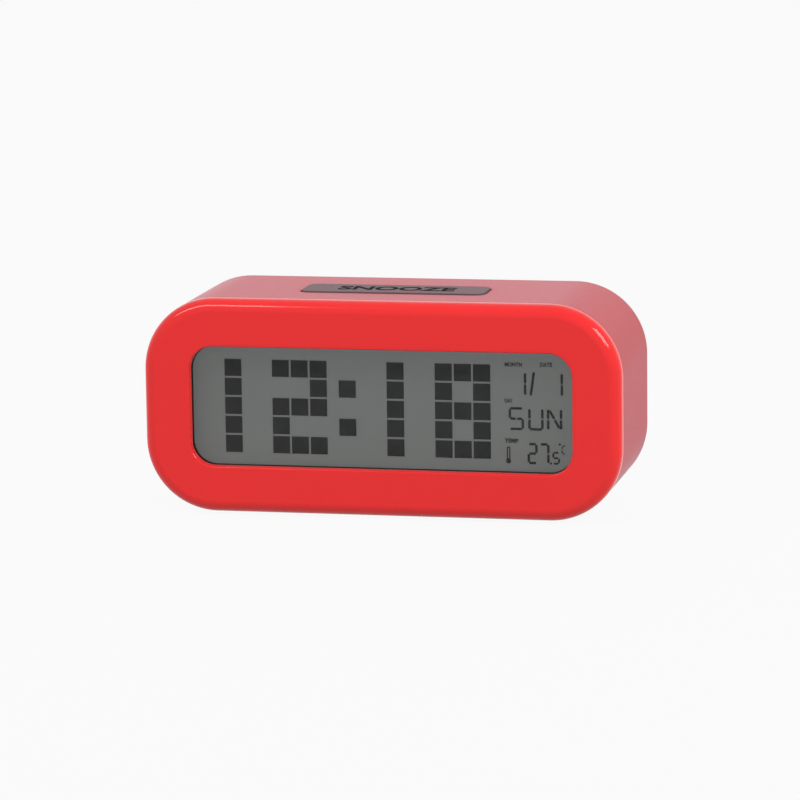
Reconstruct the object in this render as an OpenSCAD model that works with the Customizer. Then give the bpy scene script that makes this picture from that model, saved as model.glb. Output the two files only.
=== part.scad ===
// Digital alarm clock: a rounded tube-shaped shell with a framed liquid crystal display,
// a snooze bar in the roof, and buttons, a slide switch and a battery door at the back.
// Every piece is drawn from the front face backwards (y) and from the shell's underside up (z),
// and place() then sets the clock on its feet with its middle on the origin.

/* [Shell] */
// Width across the front
body_w = 150; // [148:1:180]
// Height without the feet
body_h = 67; // [66:0.5:80]
// Depth from the front face to the rear rim
body_d = 54; // [53:0.5:70]
// Outer radius of the four long edges
corner_r = 22.5; // [20:0.5:26]
// Wall of the sleeve
shell_wall = 2.8; // [2.5:0.1:3.1]
// Radius along the sleeve's rear rim
rim_round = 1.2; // [0.4:0.1:1.4]
// Radius of the two small edges at the seam between bezel and sleeve
seam_round = 0.3; // [0.1:0.05:0.5]

/* [Front bezel] */
// Depth of the bezel's side, from the front face to the seam
bezel_d = 6; // [5:0.25:8]
// Thickness of the bezel's face
bezel_face = 3; // [2.4:0.1:3.6]
// Radius of the bezel's front edge
edge_round = 3.6; // [1.5:0.1:3.6]
// Length of the spigot that laps into the sleeve
lap_d = 5; // [3.5:0.25:6]
// Wall of the spigot
spigot_wall = 1.5; // [1.2:0.1:1.7]
// Wall of the sleeve around the spigot
sleeve_lap = 1.3; // [1:0.1:1.6]

/* [Window and lens] */
// Width of the bezel's face beside the window
bezel_side = 14.9; // [13.1:0.1:22]
// Height of the bezel's face above and below the window
bezel_rail = 14.7; // [14:0.1:20]
// Corner radius of the window
window_r = 7.5; // [3:0.5:12]
// Radius of the window's front edge
window_edge = 0.5; // [0.2:0.1:1]
// Thickness of the lens
lens_t = 1.5; // [1:0.1:2]
// How far the lens reaches past the window on each side
lens_lap = 2.9; // [2.4:0.1:3.2]
// Thickness of the dust gasket
gasket_t = 0.8; // [0.5:0.1:1.2]
// Width of the gasket's rim
gasket_rim = 1.8; // [1:0.1:1.8]

/* [Display] */
// Thickness of one display glass
glass_t = 0.7; // [0.5:0.1:1.1]
// How far the glass reaches past the window at the top and sides
glass_lap = 2.4; // [1.8:0.1:2.6]
// Height of the bare contact ledge below the rear glass
ledge_h = 2.4; // [2:0.1:2.8]
// Gap between the two glasses, which the segments fill
cell_gap = 0.1; // [0.05:0.01:0.2]
// Thickness of each polariser
polariser_t = 0.2; // [0.1:0.05:0.3]
// Thickness of the light guide
guide_t = 2.6; // [2:0.1:3.2]
// Wall of the frame around the glass
frame_wall = 1.8; // [1.2:0.1:2.3]
// Thickness of the rubber connector strip
zebra_t = 1.2; // [0.8:0.1:1.3]

/* [Shown figures] */
// Side of one block of the large figures
block = 5.4; // [4:0.05:5.6]
// Step from block to block
block_step = 6; // [5.7:0.05:6.1]
// Left edge of the first large figure
figures_x = -56.3; // [-57:0.05:-54]
// Step from one large figure to the next
figure_step = 21.15; // [19:0.05:21.2]
// Step from the colon to the figure after it
colon_step = 9.15; // [8:0.05:9.6]
// Stroke width of the small figures
stroke_w = 0.75; // [0.4:0.05:0.9]
// Gap where two strokes meet
stroke_gap = 0.2; // [0.1:0.05:0.5]

/* [Circuit boards] */
// Thickness of the main board
pcb_t = 1.6; // [1:0.1:2]
// How far the main board reaches past the window, above and below
pcb_lap = 3.7; // [2:0.1:5]
// Thickness of the two small boards
small_board_t = 1.2; // [0.8:0.1:1.6]
// Radius of the posts that carry the boards
post_r = 2.4; // [2:0.1:2.6]
// Radius of the board screws' shanks
board_screw_r = 0.95; // [0.8:0.05:1.1]
// Distance of the display posts from the window's upper and lower edges
post_inset = 5.8; // [4:0.1:10]

/* [Snooze bar] */
// Width of the bar
snooze_w = 58; // [40:0.5:64]
// Depth of the bar from front to back
snooze_d = 15.5; // [12:0.5:20]
// Corner radius of the bar
snooze_r = 3; // [2:0.25:5.5]
// How far the bar stands above the roof
snooze_rise = 0.5; // [0.2:0.1:1.2]
// Travel of the bar
snooze_travel = 1; // [0.5:0.1:1.2]
// Gap around the bar in its slot
snooze_gap = 0.4; // [0.3:0.05:0.6]
// Distance from the roof's underside down to the snooze board
snooze_board_drop = 8; // [7:0.25:9]
// Turns of each return spring
spring_turns = 6; // [4:1:7]

/* [Rear cover] */
// Thickness of the rear cover
cover_t = 2.2; // [2:0.1:2.6]
// How far the cover is sunk below the rear rim
cover_recess = 2; // [1.5:0.1:3]
// Wall of the sleeve around the rear cover
rear_lip = 1.6; // [1.5:0.1:1.9]
// Gap between the cover and the lip
cover_gap = 0.2; // [0.1:0.05:0.4]
// Distance of the case screws from the snooze bar's posts
case_screw_step = 11.7; // [6.5:0.1:14]
// Depth at which the cover's pillars meet the bezel's bosses
join_y = 20; // [17:0.5:24]

/* [Rear controls] */
// Distance from the roof down to the row of controls
row_drop = 18.5; // [17:0.5:22]
// Place of the first button
first_button_x = -33; // [-35:0.5:-28]
// Step from button to button
button_step = 14; // [11:0.5:15]
// Radius of a button
button_r = 3.4; // [2.6:0.1:4]
// How far a button stands above the cover
button_rise = 1.2; // [0.8:0.1:1.5]
// Travel of a button
button_travel = 0.6; // [0.3:0.1:0.8]
// Travel of the alarm switch
alarm_travel = 4; // [2:0.5:4.5]
// Distance from the cover's inside to the switch board's back
board_drop = 7.4; // [6.4:0.1:9]
// Radius of the buzzer disc
buzzer_r = 10; // [7:0.5:11]
// Distance of the buzzer's middle from the end of the shell
buzzer_edge = 25; // [23:0.5:28]
// Height of the buzzer's middle
buzzer_z = 24; // [22:0.5:27]

/* [Battery bay] */
// Radius of one cell
cell_r = 5.25; // [5:0.05:5.4]
// Length of one cell with its positive tip
cell_l = 44.5; // [42:0.1:45]
// Length of each compressed contact spring
contact_spring_l = 4.6; // [4:0.1:6]
// Wall of the battery bay
bay_wall = 1.2; // [1:0.1:1.5]
// Height of the battery bay's seat above the shell's inside
bay_rise = 1.2; // [0.6:0.1:4]
// How far the door reaches past the bay on each side
door_lap = 2.6; // [2.4:0.1:3.2]

/* [Feet] */
// Radius of a foot
foot_r = 4.5; // [3:0.25:6]
// How far the feet lift the shell
foot_drop = 0.8; // [0.4:0.1:1.2]
// How deep a foot is set into the underside
foot_sunk = 0.8; // [0.5:0.1:1]
// Distance of the feet from the front face and from the rear rim
foot_edge = 13; // [11:0.5:16]

/* [Hidden] */
$fn = 96;

// Clearances: a glued or laid-in piece, a lap joint, a screw, and a moving piece at rest
fit = 0.2;
lap_gap = 0.15;
screw_gap = 0.05;
rest_gap = 0.1;
run_gap = 0.3;
pin_gap = 0.08;
tip_room = 0.5;
cut = 1;

// Depths of the front stack, from the face of the bezel backwards
mid_z = body_h / 2;
mid_y = body_d / 2;
lens_y = bezel_face;
gasket_y = lens_y + lens_t;
front_film_y = gasket_y + gasket_t;
front_glass_y = front_film_y + polariser_t;
segment_y = front_glass_y + glass_t;
rear_glass_y = segment_y + cell_gap;
rear_film_y = rear_glass_y + glass_t;
guide_y = rear_film_y + polariser_t;
pcb_y = guide_y + guide_t;
pcb_back = pcb_y + pcb_t;

// Bezel and sleeve: each inset is measured inwards from the shell's outer surface
spigot_out = sleeve_lap + lap_gap;
spigot_in = spigot_out + spigot_wall;
roof_in = body_h - shell_wall;
boss_r = 2.7;
boss_rib = 1.2;
pillar_r = 3.3;
pillar_floor = 3;
case_shank_r = 1.25;
case_head_r = 2.2;
case_head_t = 1.7;
case_bite = 8;
case_hole_r = 1.5;
case_bore_r = 2.4;
case_inset = shell_wall + pillar_r + run_gap;

// Display plan: widths, and heights of lower and upper edges
gasket_lap = 0.6;
film_lap = 1.4;
guide_lap = 1.2;
rear_glass_lap = 0.4;
film_r = 1;
glass_r = 0.5;
window_w = body_w - 2 * bezel_side;
window_h = body_h - 2 * bezel_rail;
window_low = bezel_rail;
window_top = body_h - bezel_rail;
glass_w = window_w + 2 * glass_lap;
rear_glass_low = window_low - rear_glass_lap;
front_glass_low = rear_glass_low - ledge_h;
glass_top = window_top + glass_lap;
guide_w = window_w + 2 * guide_lap;
guide_low = rear_glass_low + run_gap;
guide_top = window_top + guide_lap;
frame_side = fit + frame_wall;
frame_w = glass_w + 2 * frame_side;
frame_low = front_glass_low - frame_side;
frame_top = glass_top + frame_side;
frame_r = 3;
zebra_z = front_glass_low + ledge_h / 2;
zebra_inset = 1;
zebra_w = window_w - 2 * zebra_inset;
led_size = [1.2, 1.8, 3.2];
led_notch = 0.2;
post_x = frame_w / 2 + run_gap + post_r;
post_spots = [for (sx = [-1, 1], z = [window_low + post_inset, window_top - post_inset]) [sx * post_x, z]];
pcb_edge = 2.8;
pcb_w = 2 * (post_x + pcb_edge);
pcb_h = window_h + 2 * pcb_lap;
pcb_r = 12;

// Board screws
board_hole_gap = 0.25;
board_hole_r = board_screw_r + board_hole_gap;
board_head_r = 1.9;
board_head_t = 1.3;
board_bite = 4.2;

// Pieces on the main board
chip_x = -18;
chip_r = 5;
chip_t = 1.8;
chip_dome_r = (chip_r * chip_r + chip_t * chip_t) / (2 * chip_t);
crystal_x = 4;
crystal_r = 1;
crystal_l = 6;
crystal_lead_r = 0.2;
crystal_lead_l = 1.6;
sensor_edge = 18;
sensor_x = pcb_w / 2 - sensor_edge;
sensor_r = 1.2;
sensor_stand = 4;
sensor_lead_r = 0.25;
sensor_lead_x = 0.6;

// Push switch: a square base with a round plunger
tact_w = 6;
tact_h = 3.5;
tact_floor = 0.3;
plunger_r = 1.7;
plunger_gap = 0.15;
plunger_stop = 0.5;

// Snooze bar, hung from the roof
snooze_top = body_h + snooze_rise;
snooze_cap_t = 2;
snooze_skirt = 1.6;
snooze_lip = 1.6;
snooze_lip_t = 1.2;
snooze_boss_r = 2.6;
snooze_cap_in = snooze_top - snooze_cap_t;
snooze_lip_top = roof_in - rest_gap;
snooze_board_z = roof_in - snooze_board_drop;
snooze_plunger_top = snooze_board_z + tact_h + snooze_travel + plunger_stop;
snooze_post_x = snooze_w / 2 + snooze_lip + run_gap + post_r;
snooze_board_w = 2 * (snooze_post_x + post_r + fit);
case_x = snooze_post_x + case_screw_step;
case_spots = [for (sx = [-1, 1], z = [case_inset, body_h - case_inset]) [sx * case_x, z]];
snooze_board_d = 14;
snooze_board_r = 2;
spring_r = 1.9;
spring_wire_r = 0.3;
spring_x = snooze_w / 3;
spring_peg_r = 1.3;
spring_peg_l = 5;
wire_steps = 8;
wire_sides = 6;

// Rear cover and what it carries
cover_out = body_d - cover_recess;
cover_y = cover_out - cover_t;
cover_inset = rear_lip + cover_gap;
row_z = body_h - row_drop;
button_count = 4;
button_xs = [for (i = [0 : button_count - 1]) first_button_x + i * button_step];
button_lip = 1.2;
button_lip_t = 1;
button_dome = 0.4;
stem_r = 1.5;
lip_y = cover_y - rest_gap - button_lip_t;
board_back = cover_y - board_drop;
board_front = board_back - small_board_t;
board_h = 12;
board_r = 1.5;
plunger_top = board_back + tact_h + button_travel + plunger_stop;
alarm_step = 16;
alarm_x = button_xs[button_count - 1] + alarm_step;
knob_w = 3.4;
knob_h = 3.6;
knob_rise = 1;
knob_side = knob_w / 2 + run_gap;
knob_lip_w = 2 * (knob_side + alarm_travel + run_gap);
knob_lip_h = 6;
slide_w = 9;
slide_h = 5;
slide_t = 4;
slider_w = 2.4;
slider_h = 1.8;
slider_in = 2;
button_post_step = 8.5;
alarm_post_step = 10.6;
board_post_spots = [button_xs[0] - button_post_step, alarm_x + alarm_travel + alarm_post_step];
board_rim = 1.6;
board_edge = post_r + board_rim;
board_x0 = board_post_spots[0] - board_edge;
board_x1 = board_post_spots[1] + board_edge;
buzzer_x = body_w / 2 - buzzer_edge;
buzzer_t = 0.4;
ceramic_t = 0.2;
ceramic_rim = 3;
ceramic_r = buzzer_r - ceramic_rim;
buzzer_seat = 1;
buzzer_stand = 1.6;
buzzer_ring = 1;
buzzer_skirt = 1.4;
grille_r = 0.8;
grille_step = 3.2;
grille_rings = 2;
grille_around = 6;

// Battery bay, cells and contacts
cell_gap_side = 0.15;
cell_gap_mid = 0.5;
cell_step = 2 * cell_r + cell_gap_mid;
cell_tip_l = 0.8;
cell_tip_r = 1.9;
cell_y = cover_y - cell_gap_side - cell_r;
bay_floor_y = cell_y - cell_r - cell_gap_side;
contact_t = 0.4;
contact_w = 8;
contact_h = 8.4;
tail_w = 1.8;
tail_l = 2.8;
bay_l = cell_l + contact_spring_l + 2 * contact_t;
bay_h = cell_step + 2 * cell_r + 2 * run_gap;
contact_x = bay_l / 2 - contact_t;
function strip_x(s) = min(s * contact_x, s * bay_l / 2);
coil_turns = 3;
coil_wire_r = 0.3;
coil_wide_r = 3;
coil_slim_r = 1.8;

// Battery door, with its pins on the lower edge
door_t = cover_t - rest_gap;
door_w = bay_l + 2 * door_lap;
door_h = bay_h + 2 * door_lap;
seat_side = 1.6;
seat_t = 1.6;
seat_low = shell_wall + bay_rise;
door_low = seat_low + seat_side + run_gap;
door_top = door_low + door_h;
bay_z = door_low + door_h / 2;
function cell_z(s) = bay_z + s * cell_step / 2;
hinge_y = cover_out - door_t / 2;
hinge_z = door_low + door_t / 2;
pin_r = 0.5;
pin_l = 1.2;
latch_w = 8;
latch_l = 1;
latch_t = 1.2;

// Feet under the flat of the underside
foot_inset = 1;
foot_x = body_w / 2 - corner_r - foot_r - foot_inset;
foot_spots = [for (sx = [-1, 1], y = [foot_edge, body_d - foot_edge]) [sx * foot_x, y]];

// Leads inside the shell
lead_r = 0.6;
thin_lead_r = 0.4;
lead_steps = 12;
lead_sides = 8;
lead_gap = 2 * lead_r;
thin_lead_gap = thin_lead_r;
snooze_lead_bend = 8;
buzzer_lead_bend = 8;
ribbon_w = 8;
ribbon_t = 0.4;
ribbon_x = button_xs[0];
ribbon_bow = 4;

// The figures are laid out from the middle of a window of this size, and drawn to the real window's scale
figures_plan = [120.2, 37.6];
figures_scale = min(window_w / figures_plan.x, window_h / figures_plan.y);

// Large figures as rows of three blocks, top row first
one = ["010", "010", "010", "010", "010"];
two = ["111", "001", "111", "100", "111"];
eight = ["111", "101", "111", "101", "111"];
colon = ["000", "100", "000", "100", "000"];
figures_drop = 0.55;
figures_z = 2 * block_step + block / 2 - figures_drop;
figure_xs = [0, figure_step, 2 * figure_step + colon_step, 3 * figure_step + colon_step];

// Small figures as strokes on a grid one step wide and two steps high
stroke_top = [[0, 2], [1, 2]];
stroke_mid = [[0, 1], [1, 1]];
stroke_low = [[0, 0], [1, 0]];
stroke_ul = [[0, 1], [0, 2]];
stroke_ll = [[0, 0], [0, 1]];
stroke_ur = [[1, 1], [1, 2]];
stroke_lr = [[1, 0], [1, 1]];
stroke_fall_1 = [[0.1, 1.9], [0.5, 1]];
stroke_fall_2 = [[0.5, 1], [0.9, 0.1]];
thin_one = [stroke_ur, stroke_lr];
thin_two = [stroke_top, stroke_ur, stroke_mid, stroke_ll, stroke_low];
thin_five = [stroke_top, stroke_ul, stroke_mid, stroke_lr, stroke_low];
thin_seven = [stroke_top, stroke_ur, stroke_lr];
thin_s = [stroke_top, stroke_ul, [[0, 1], [0.5, 1]], [[0.5, 1], [1, 1]], stroke_lr, stroke_low];
thin_u = [stroke_ul, stroke_ll, stroke_low, stroke_lr, stroke_ur];
thin_n = [stroke_ul, stroke_ll, stroke_fall_1, stroke_fall_2, stroke_ur, stroke_lr];
thin_c = [stroke_top, stroke_ul, stroke_ll, stroke_low];
thin_slash = [[[0.4, 0], [1, 2.2]]];

// Strokes are at most this share of a figure's height wide
low_figure = 6;

// Each small figure: its strokes, left edge, height of its foot above the middle, width and height
date_z = 4.85;
day_z = -5.7;
degrees_z = -16.2;
small_figures = [
    [thin_one, 42.3, date_z, 2.2, 7],
    [thin_slash, 45.5, date_z - 0.2, 1.8, 6.9],
    [thin_one, 53.7, date_z, 2.2, 7],
    [thin_s, 39.7, day_z, 4, 6.4],
    [thin_u, 45.8, day_z, 4, 6.4],
    [thin_n, 51.6, day_z, 4, 6.4],
    [thin_two, 45.5, degrees_z, 2.4, 5.9],
    [thin_seven, 49.1, degrees_z, 2.5, 5.9],
    [thin_five, 53.1, degrees_z, 1.8, 3.4],
    [thin_c, 55.9, degrees_z + 3.1, 1, 2.4]
];
thermometer_x = 39.2;
thermometer_z = -15.7;
thermometer_r = 0.8;
thermometer_stem = [1.1, 4.4];
thermometer_tube = 0.35;
point_x = 52.4;
degree_x = 55.2;
degree_z = degrees_z + 6;
point_r = 0.35;

// Sets the clock on its feet, with the middle of its footprint on the origin
module place() {
    translate([0, -mid_y, foot_drop]) children();
}

module rounded_rect(w, h, r) {
    square([w - 2 * r, h], center = true);
    square([w, h - 2 * r], center = true);
    for (sx = [-1, 1], sy = [-1, 1])
        translate([sx * (w / 2 - r), sy * (h / 2 - r)]) circle(r);
}

// Plate with rounded corners that faces the front, between two depths
module plate(w, z0, z1, r, y0, y1, x = 0) {
    translate([x, y1, (z0 + z1) / 2])
        rotate([90, 0, 0])
            linear_extrude(y1 - y0) rounded_rect(w, z1 - z0, r);
}

// Plate that reaches past the window by a lap on every side
module window_plate(lap, r, y0, y1) {
    plate(window_w + 2 * lap, window_low - lap, window_top + lap, r, y0, y1);
}

// The shell's outline moved inwards, between two depths
module shell_plate(inset, y0, y1) {
    plate(body_w - 2 * inset, inset, body_h - inset, corner_r - inset, y0, y1);
}

// Round bar along the depth
module bar(x, z, r, y0, y1) {
    translate([x, y1, z]) rotate([90, 0, 0]) cylinder(r = r, h = y1 - y0);
}

module block_between(low, high) {
    translate(low) cube(high - low);
}

// Section of a shell's edge: out to r, d deep, with its two outer corners rounded
module edge_section(r, d, front_round, rear_round) {
    square([r - front_round, d / 2]);
    translate([0, d / 2]) square([r - rear_round, d / 2]);
    translate([0, front_round]) square([r, d - front_round - rear_round]);
    intersection() {
        translate([r - front_round, front_round]) circle(front_round);
        square([r, front_round]);
    }
    translate([r - rear_round, d - rear_round]) circle(rear_round);
}

// Carries a section round a rounded rectangle: x runs outwards from the corner centres
module around(w, h, r) {
    corners = [[1, -1], [-1, -1], [-1, 1], [1, 1]];
    half = [w / 2 - r, h / 2 - r];
    for (k = [0 : 3]) {
        side = half[k % 2];
        run = half[(k + 1) % 2];
        translate([corners[k].x * half.x, 0, corners[k].y * half.y])
            rotate([0, 90 * k, 0]) rotate([-90, 0, 0]) rotate_extrude(angle = 90) children();
        rotate([0, 90 * k, 0]) translate([side, 0, -run]) linear_extrude(2 * run) children();
    }
}

// Solid with the shell's outline and rounded edges, d deep
module shell_solid(d, front_round, rear_round) {
    core_w = body_w - 2 * corner_r;
    core_h = body_h - 2 * corner_r;
    translate([0, 0, mid_z]) {
        around(body_w, body_h, corner_r) edge_section(corner_r, d, front_round, rear_round);
        translate([-core_w / 2, 0, -core_h / 2]) cube([core_w, d, core_h]);
    }
}

// The window with its rounded front edge, as a cutter
module window_cutter() {
    window_plate(0, window_r, -cut, bezel_face + cut);
    translate([0, 0, mid_z])
        around(window_w, window_h, window_r)
            difference() {
                translate([window_r - window_edge, -cut]) square([2 * window_edge, window_edge + cut]);
                translate([window_r + window_edge, window_edge]) circle(window_edge);
            }
}

// Points and rings of a tube or ribbon that follows a path
function unit(v) = v / norm(v);
function bezier(a, b, c, d, n) =
    [for (i = [0 : n])
        let (t = i / n, s = 1 - t)
            s * s * s * a + 3 * s * s * t * b + 3 * s * t * t * c + t * t * t * d];
function heading(path, ends, i) =
    i == 0 ? ends[0] : i == len(path) - 1 ? ends[1] : unit(path[i + 1] - path[i - 1]);
function ring(centre, along, aside, section) =
    let (u = unit(cross(aside, along)), v = cross(along, u)) [for (p = section) centre + p.x * u + p.y * v];
function round_section(r, n) = [for (i = [0 : n - 1]) r * [cos(360 * i / n), sin(360 * i / n)]];

module swept(path, ends, aside, section) {
    n = len(section);
    last = len(path) - 1;
    points = [for (i = [0 : last]) each ring(path[i], heading(path, ends, i), aside, section)];
    sides = [for (i = [0 : last - 1], k = [0 : n - 1])
        let (a = i * n + k, b = i * n + (k + 1) % n)
            each [[a, a + n, b + n], [a, b + n, b]]];
    caps = [for (k = [1 : n - 2]) each [[0, k, k + 1], [last * n, last * n + k + 1, last * n + k]]];
    polyhedron(points = points, faces = concat(sides, caps), convexity = 6);
}

// Spring wire along z, from radius r0 at the foot to r1 at the top
function coil_path(r0, r1, h, turns) =
    [for (i = [0 : wire_steps * turns])
        let (t = i / (wire_steps * turns), r = r0 + (r1 - r0) * t, a = 360 * turns * t)
            [r * cos(a), r * sin(a), h * t]];
function coil_end(r, h, turns) = unit([0, 2 * PI * r, h / turns]);
function least_gap(path, wire_r) =
    min([for (i = [0 : len(path) - 1], j = [i + wire_steps / 2 + 1 : 1 : len(path) - 1])
        norm(path[i] - path[j])]) - 2 * wire_r;

module coil(r0, r1, l, turns, wire_r) {
    h = l - 2 * wire_r;
    path = coil_path(r0, r1, h, turns);
    echo(least_coil_gap = least_gap(path, wire_r));
    ends = [coil_end(r0, h, turns), coil_end(r1, h, turns)];
    translate([0, 0, wire_r]) swept(path, ends, [0, 0, 1], round_section(wire_r, wire_sides));
}

// Self-tapping screw that points along -z, with its head's seat at z = 0
module screw(shank_r, shank_l, head_r, head_t) {
    slot_w = head_r / 4;
    difference() {
        union() {
            translate([0, 0, -shank_l]) cylinder(r = shank_r, h = shank_l);
            cylinder(r = head_r, h = head_t);
        }
        for (turn = [0, 90])
            rotate(turn) translate([-head_r / 2, -slot_w / 2, head_t / 2]) cube([head_r, slot_w, head_t]);
    }
}

// Push switch along z, on a board at z = 0
module tact_base() {
    difference() {
        translate([-tact_w / 2, -tact_w / 2, 0]) cube([tact_w, tact_w, tact_h]);
        translate([0, 0, tact_floor]) cylinder(r = plunger_r + plunger_gap, h = tact_h);
    }
}

module tact_plunger(travel) {
    foot = tact_floor + plunger_gap + travel;
    translate([0, 0, foot]) cylinder(r = plunger_r, h = tact_h + travel + plunger_stop - foot);
}

// Turns a piece that is drawn upwards so that it points to the rear
module to_rear(x, y, z) {
    translate([x, y, z]) rotate([-90, 0, 0]) children();
}

module front_bezel() {
    color("red") place() difference() {
        union() {
            difference() {
                union() {
                    shell_solid(bezel_d, edge_round, seam_round);
                    shell_plate(spigot_out, bezel_d / 2, bezel_d + lap_d);
                }
                shell_plate(spigot_in, bezel_face, bezel_d + lap_d + cut);
            }
            for (s = case_spots) {
                bar(s.x, s.y, boss_r, bezel_face / 2, join_y);
                wall_z = s.y < mid_z ? spigot_out : body_h - spigot_out;
                block_between(
                    [s.x - boss_rib / 2, bezel_face / 2, min(wall_z + spigot_wall / 2, s.y)],
                    [s.x + boss_rib / 2, bezel_d + lap_d, max(wall_z - spigot_wall / 2, s.y)]);
            }
            for (s = post_spots) bar(s.x, s.y, post_r, bezel_face / 2, pcb_y);
        }
        window_cutter();
        for (s = case_spots)
            bar(s.x, s.y, case_shank_r + screw_gap, join_y - case_bite - tip_room, join_y + cut);
        for (s = post_spots)
            bar(s.x, s.y, board_screw_r + screw_gap, pcb_y - board_bite - tip_room, pcb_y + cut);
    }
}

module body_sleeve() {
    color("firebrick") place() difference() {
        union() {
            difference() {
                translate([0, bezel_d, 0]) shell_solid(body_d - bezel_d, seam_round, rim_round);
                shell_plate(sleeve_lap, bezel_d - cut, bezel_d + lap_d + fit);
                shell_plate(shell_wall, bezel_d + lap_d, cover_y + cut);
                shell_plate(rear_lip, cover_y, body_d + cut);
            }
            for (sx = [-1, 1])
                translate([sx * snooze_post_x, mid_y, snooze_board_z])
                    cylinder(r = post_r, h = snooze_board_drop + shell_wall / 2);
        }
        translate([0, mid_y, roof_in - cut])
            linear_extrude(shell_wall + 2 * cut)
                rounded_rect(snooze_w + 2 * snooze_gap, snooze_d + 2 * snooze_gap, snooze_r + snooze_gap);
        for (sx = [-1, 1])
            translate([sx * snooze_post_x, mid_y, snooze_board_z - cut])
                cylinder(r = board_screw_r + screw_gap, h = board_bite + tip_room + cut);
        for (s = foot_spots)
            translate([s.x, s.y, -cut]) cylinder(r = foot_r + rest_gap, h = foot_sunk + cut);
    }
}

module rear_cover() {
    opening_w = door_w + 2 * run_gap;
    seat_w = opening_w + 2 * seat_side;
    seat_top = door_top + run_gap + seat_side + latch_l;
    bay_low = bay_z - bay_h / 2;
    bay_top = bay_z + bay_h / 2;
    ring_y = cover_y - buzzer_stand - buzzer_t;
    cover_mid = cover_y + cover_t / 2;
    color("dimgray") place() difference() {
        union() {
            shell_plate(cover_inset, cover_y, cover_out);
            for (s = case_spots) bar(s.x, s.y, pillar_r, join_y, cover_mid);
            for (x = board_post_spots) bar(x, row_z, post_r, board_back, cover_mid);
            bar(buzzer_x, buzzer_z, buzzer_r + fit + buzzer_ring, ring_y - buzzer_skirt, cover_mid);
            block_between([-seat_w / 2, cover_y - seat_t, seat_low], [seat_w / 2, cover_mid, seat_top]);
            block_between(
                [-bay_l / 2 - bay_wall, bay_floor_y - bay_wall, bay_low - bay_wall],
                [bay_l / 2 + bay_wall, cover_y, bay_top + bay_wall]);
        }
        for (s = case_spots) {
            bar(s.x, s.y, case_hole_r, join_y - cut, cover_y);
            bar(s.x, s.y, case_bore_r, join_y + pillar_floor, cover_out + cut);
        }
        for (x = board_post_spots)
            bar(x, row_z, board_screw_r + screw_gap, board_back - cut, board_back + board_bite + tip_room);
        for (x = button_xs) bar(x, row_z, button_r + run_gap, cover_y - cut, cover_out + cut);
        block_between(
            [alarm_x - knob_side, cover_y - cut, row_z - knob_h / 2 - run_gap],
            [alarm_x + alarm_travel + knob_side, cover_out + cut, row_z + knob_h / 2 + run_gap]);
        bar(buzzer_x, buzzer_z, buzzer_r + fit, ring_y - buzzer_skirt - cut, ring_y + buzzer_t);
        bar(buzzer_x, buzzer_z, buzzer_r - buzzer_seat, ring_y, cover_y);
        for (ring = [0 : grille_rings], i = [0 : max(grille_around * ring, 1) - 1]) {
            turn = 360 * i / max(grille_around * ring, 1);
            x = buzzer_x + ring * grille_step * cos(turn);
            z = buzzer_z + ring * grille_step * sin(turn);
            bar(x, z, grille_r, cover_y - cut, cover_out + cut);
        }
        block_between([-bay_l / 2, bay_floor_y, bay_low], [bay_l / 2, cover_out, bay_top]);
        block_between(
            [-opening_w / 2, cover_y, door_low - run_gap],
            [opening_w / 2, cover_out + cut, door_top + run_gap]);
        block_between(
            [-latch_w / 2 - run_gap, hinge_y - latch_t / 2 - run_gap, door_top],
            [latch_w / 2 + run_gap, cover_out + cut, door_top + latch_l + run_gap]);
        translate([-door_w / 2 - pin_l - fit, hinge_y, hinge_z])
            rotate([0, 90, 0]) cylinder(r = pin_r + pin_gap, h = door_w + 2 * pin_l + 2 * fit);
        for (sx = [-1, 1], sz = [-1, 1])
            block_between(
                [strip_x(sx) - rest_gap, bay_floor_y - bay_wall - cut, cell_z(sz) - tail_w / 2 - fit],
                [strip_x(sx) + contact_t + rest_gap, bay_floor_y + cut, cell_z(sz) + tail_w / 2 + fit]);
    }
}

module case_screws() {
    color("silver") place()
        for (s = case_spots)
            to_rear(s.x, join_y + pillar_floor, s.y)
                screw(case_shank_r, pillar_floor + case_bite, case_head_r, case_head_t);
}

module rubber_feet() {
    color("black") place()
        for (s = foot_spots)
            translate([s.x, s.y, -foot_drop]) cylinder(r = foot_r, h = foot_drop + foot_sunk);
}

module display_lens() {
    color("white", 0.3) place() window_plate(lens_lap, window_r + lens_lap, lens_y, gasket_y);
}

module dust_gasket() {
    outer = gasket_lap + gasket_rim;
    color("black") place() difference() {
        window_plate(outer, window_r + outer, gasket_y, front_film_y);
        window_plate(gasket_lap, window_r + gasket_lap, gasket_y - cut, front_film_y + cut);
    }
}

module front_polariser() {
    color("gray", 0.3) place() window_plate(film_lap, film_r, front_film_y, front_glass_y);
}

module lcd_front_glass() {
    color("white", 0.3) place()
        plate(glass_w, front_glass_low, glass_top, glass_r, front_glass_y, segment_y);
}

// A large figure from its rows of blocks, drawn in the plane of the display
module large_figure(rows) {
    for (i = [0 : 4], k = [0 : 2])
        if (rows[i][k] == "1")
            translate([k * block_step, -i * block_step - block]) square(block);
}

// One stroke between two points of the plane, held back from both ends
module stroke(a, b, wide, gap) {
    l = norm(b - a);
    translate(a) rotate(atan2(b.y - a.y, b.x - a.x))
        translate([gap, -wide / 2]) square([l - 2 * gap, wide]);
}

// A low or narrow figure has thinner strokes and smaller gaps, so that it stays open
module small_figure(strokes, w, h) {
    wide = min(stroke_w, h / low_figure);
    gap = min(stroke_gap, w / 4);
    for (s = strokes) stroke([s[0].x * w, s[0].y * h / 2], [s[1].x * w, s[1].y * h / 2], wide, gap);
}

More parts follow.
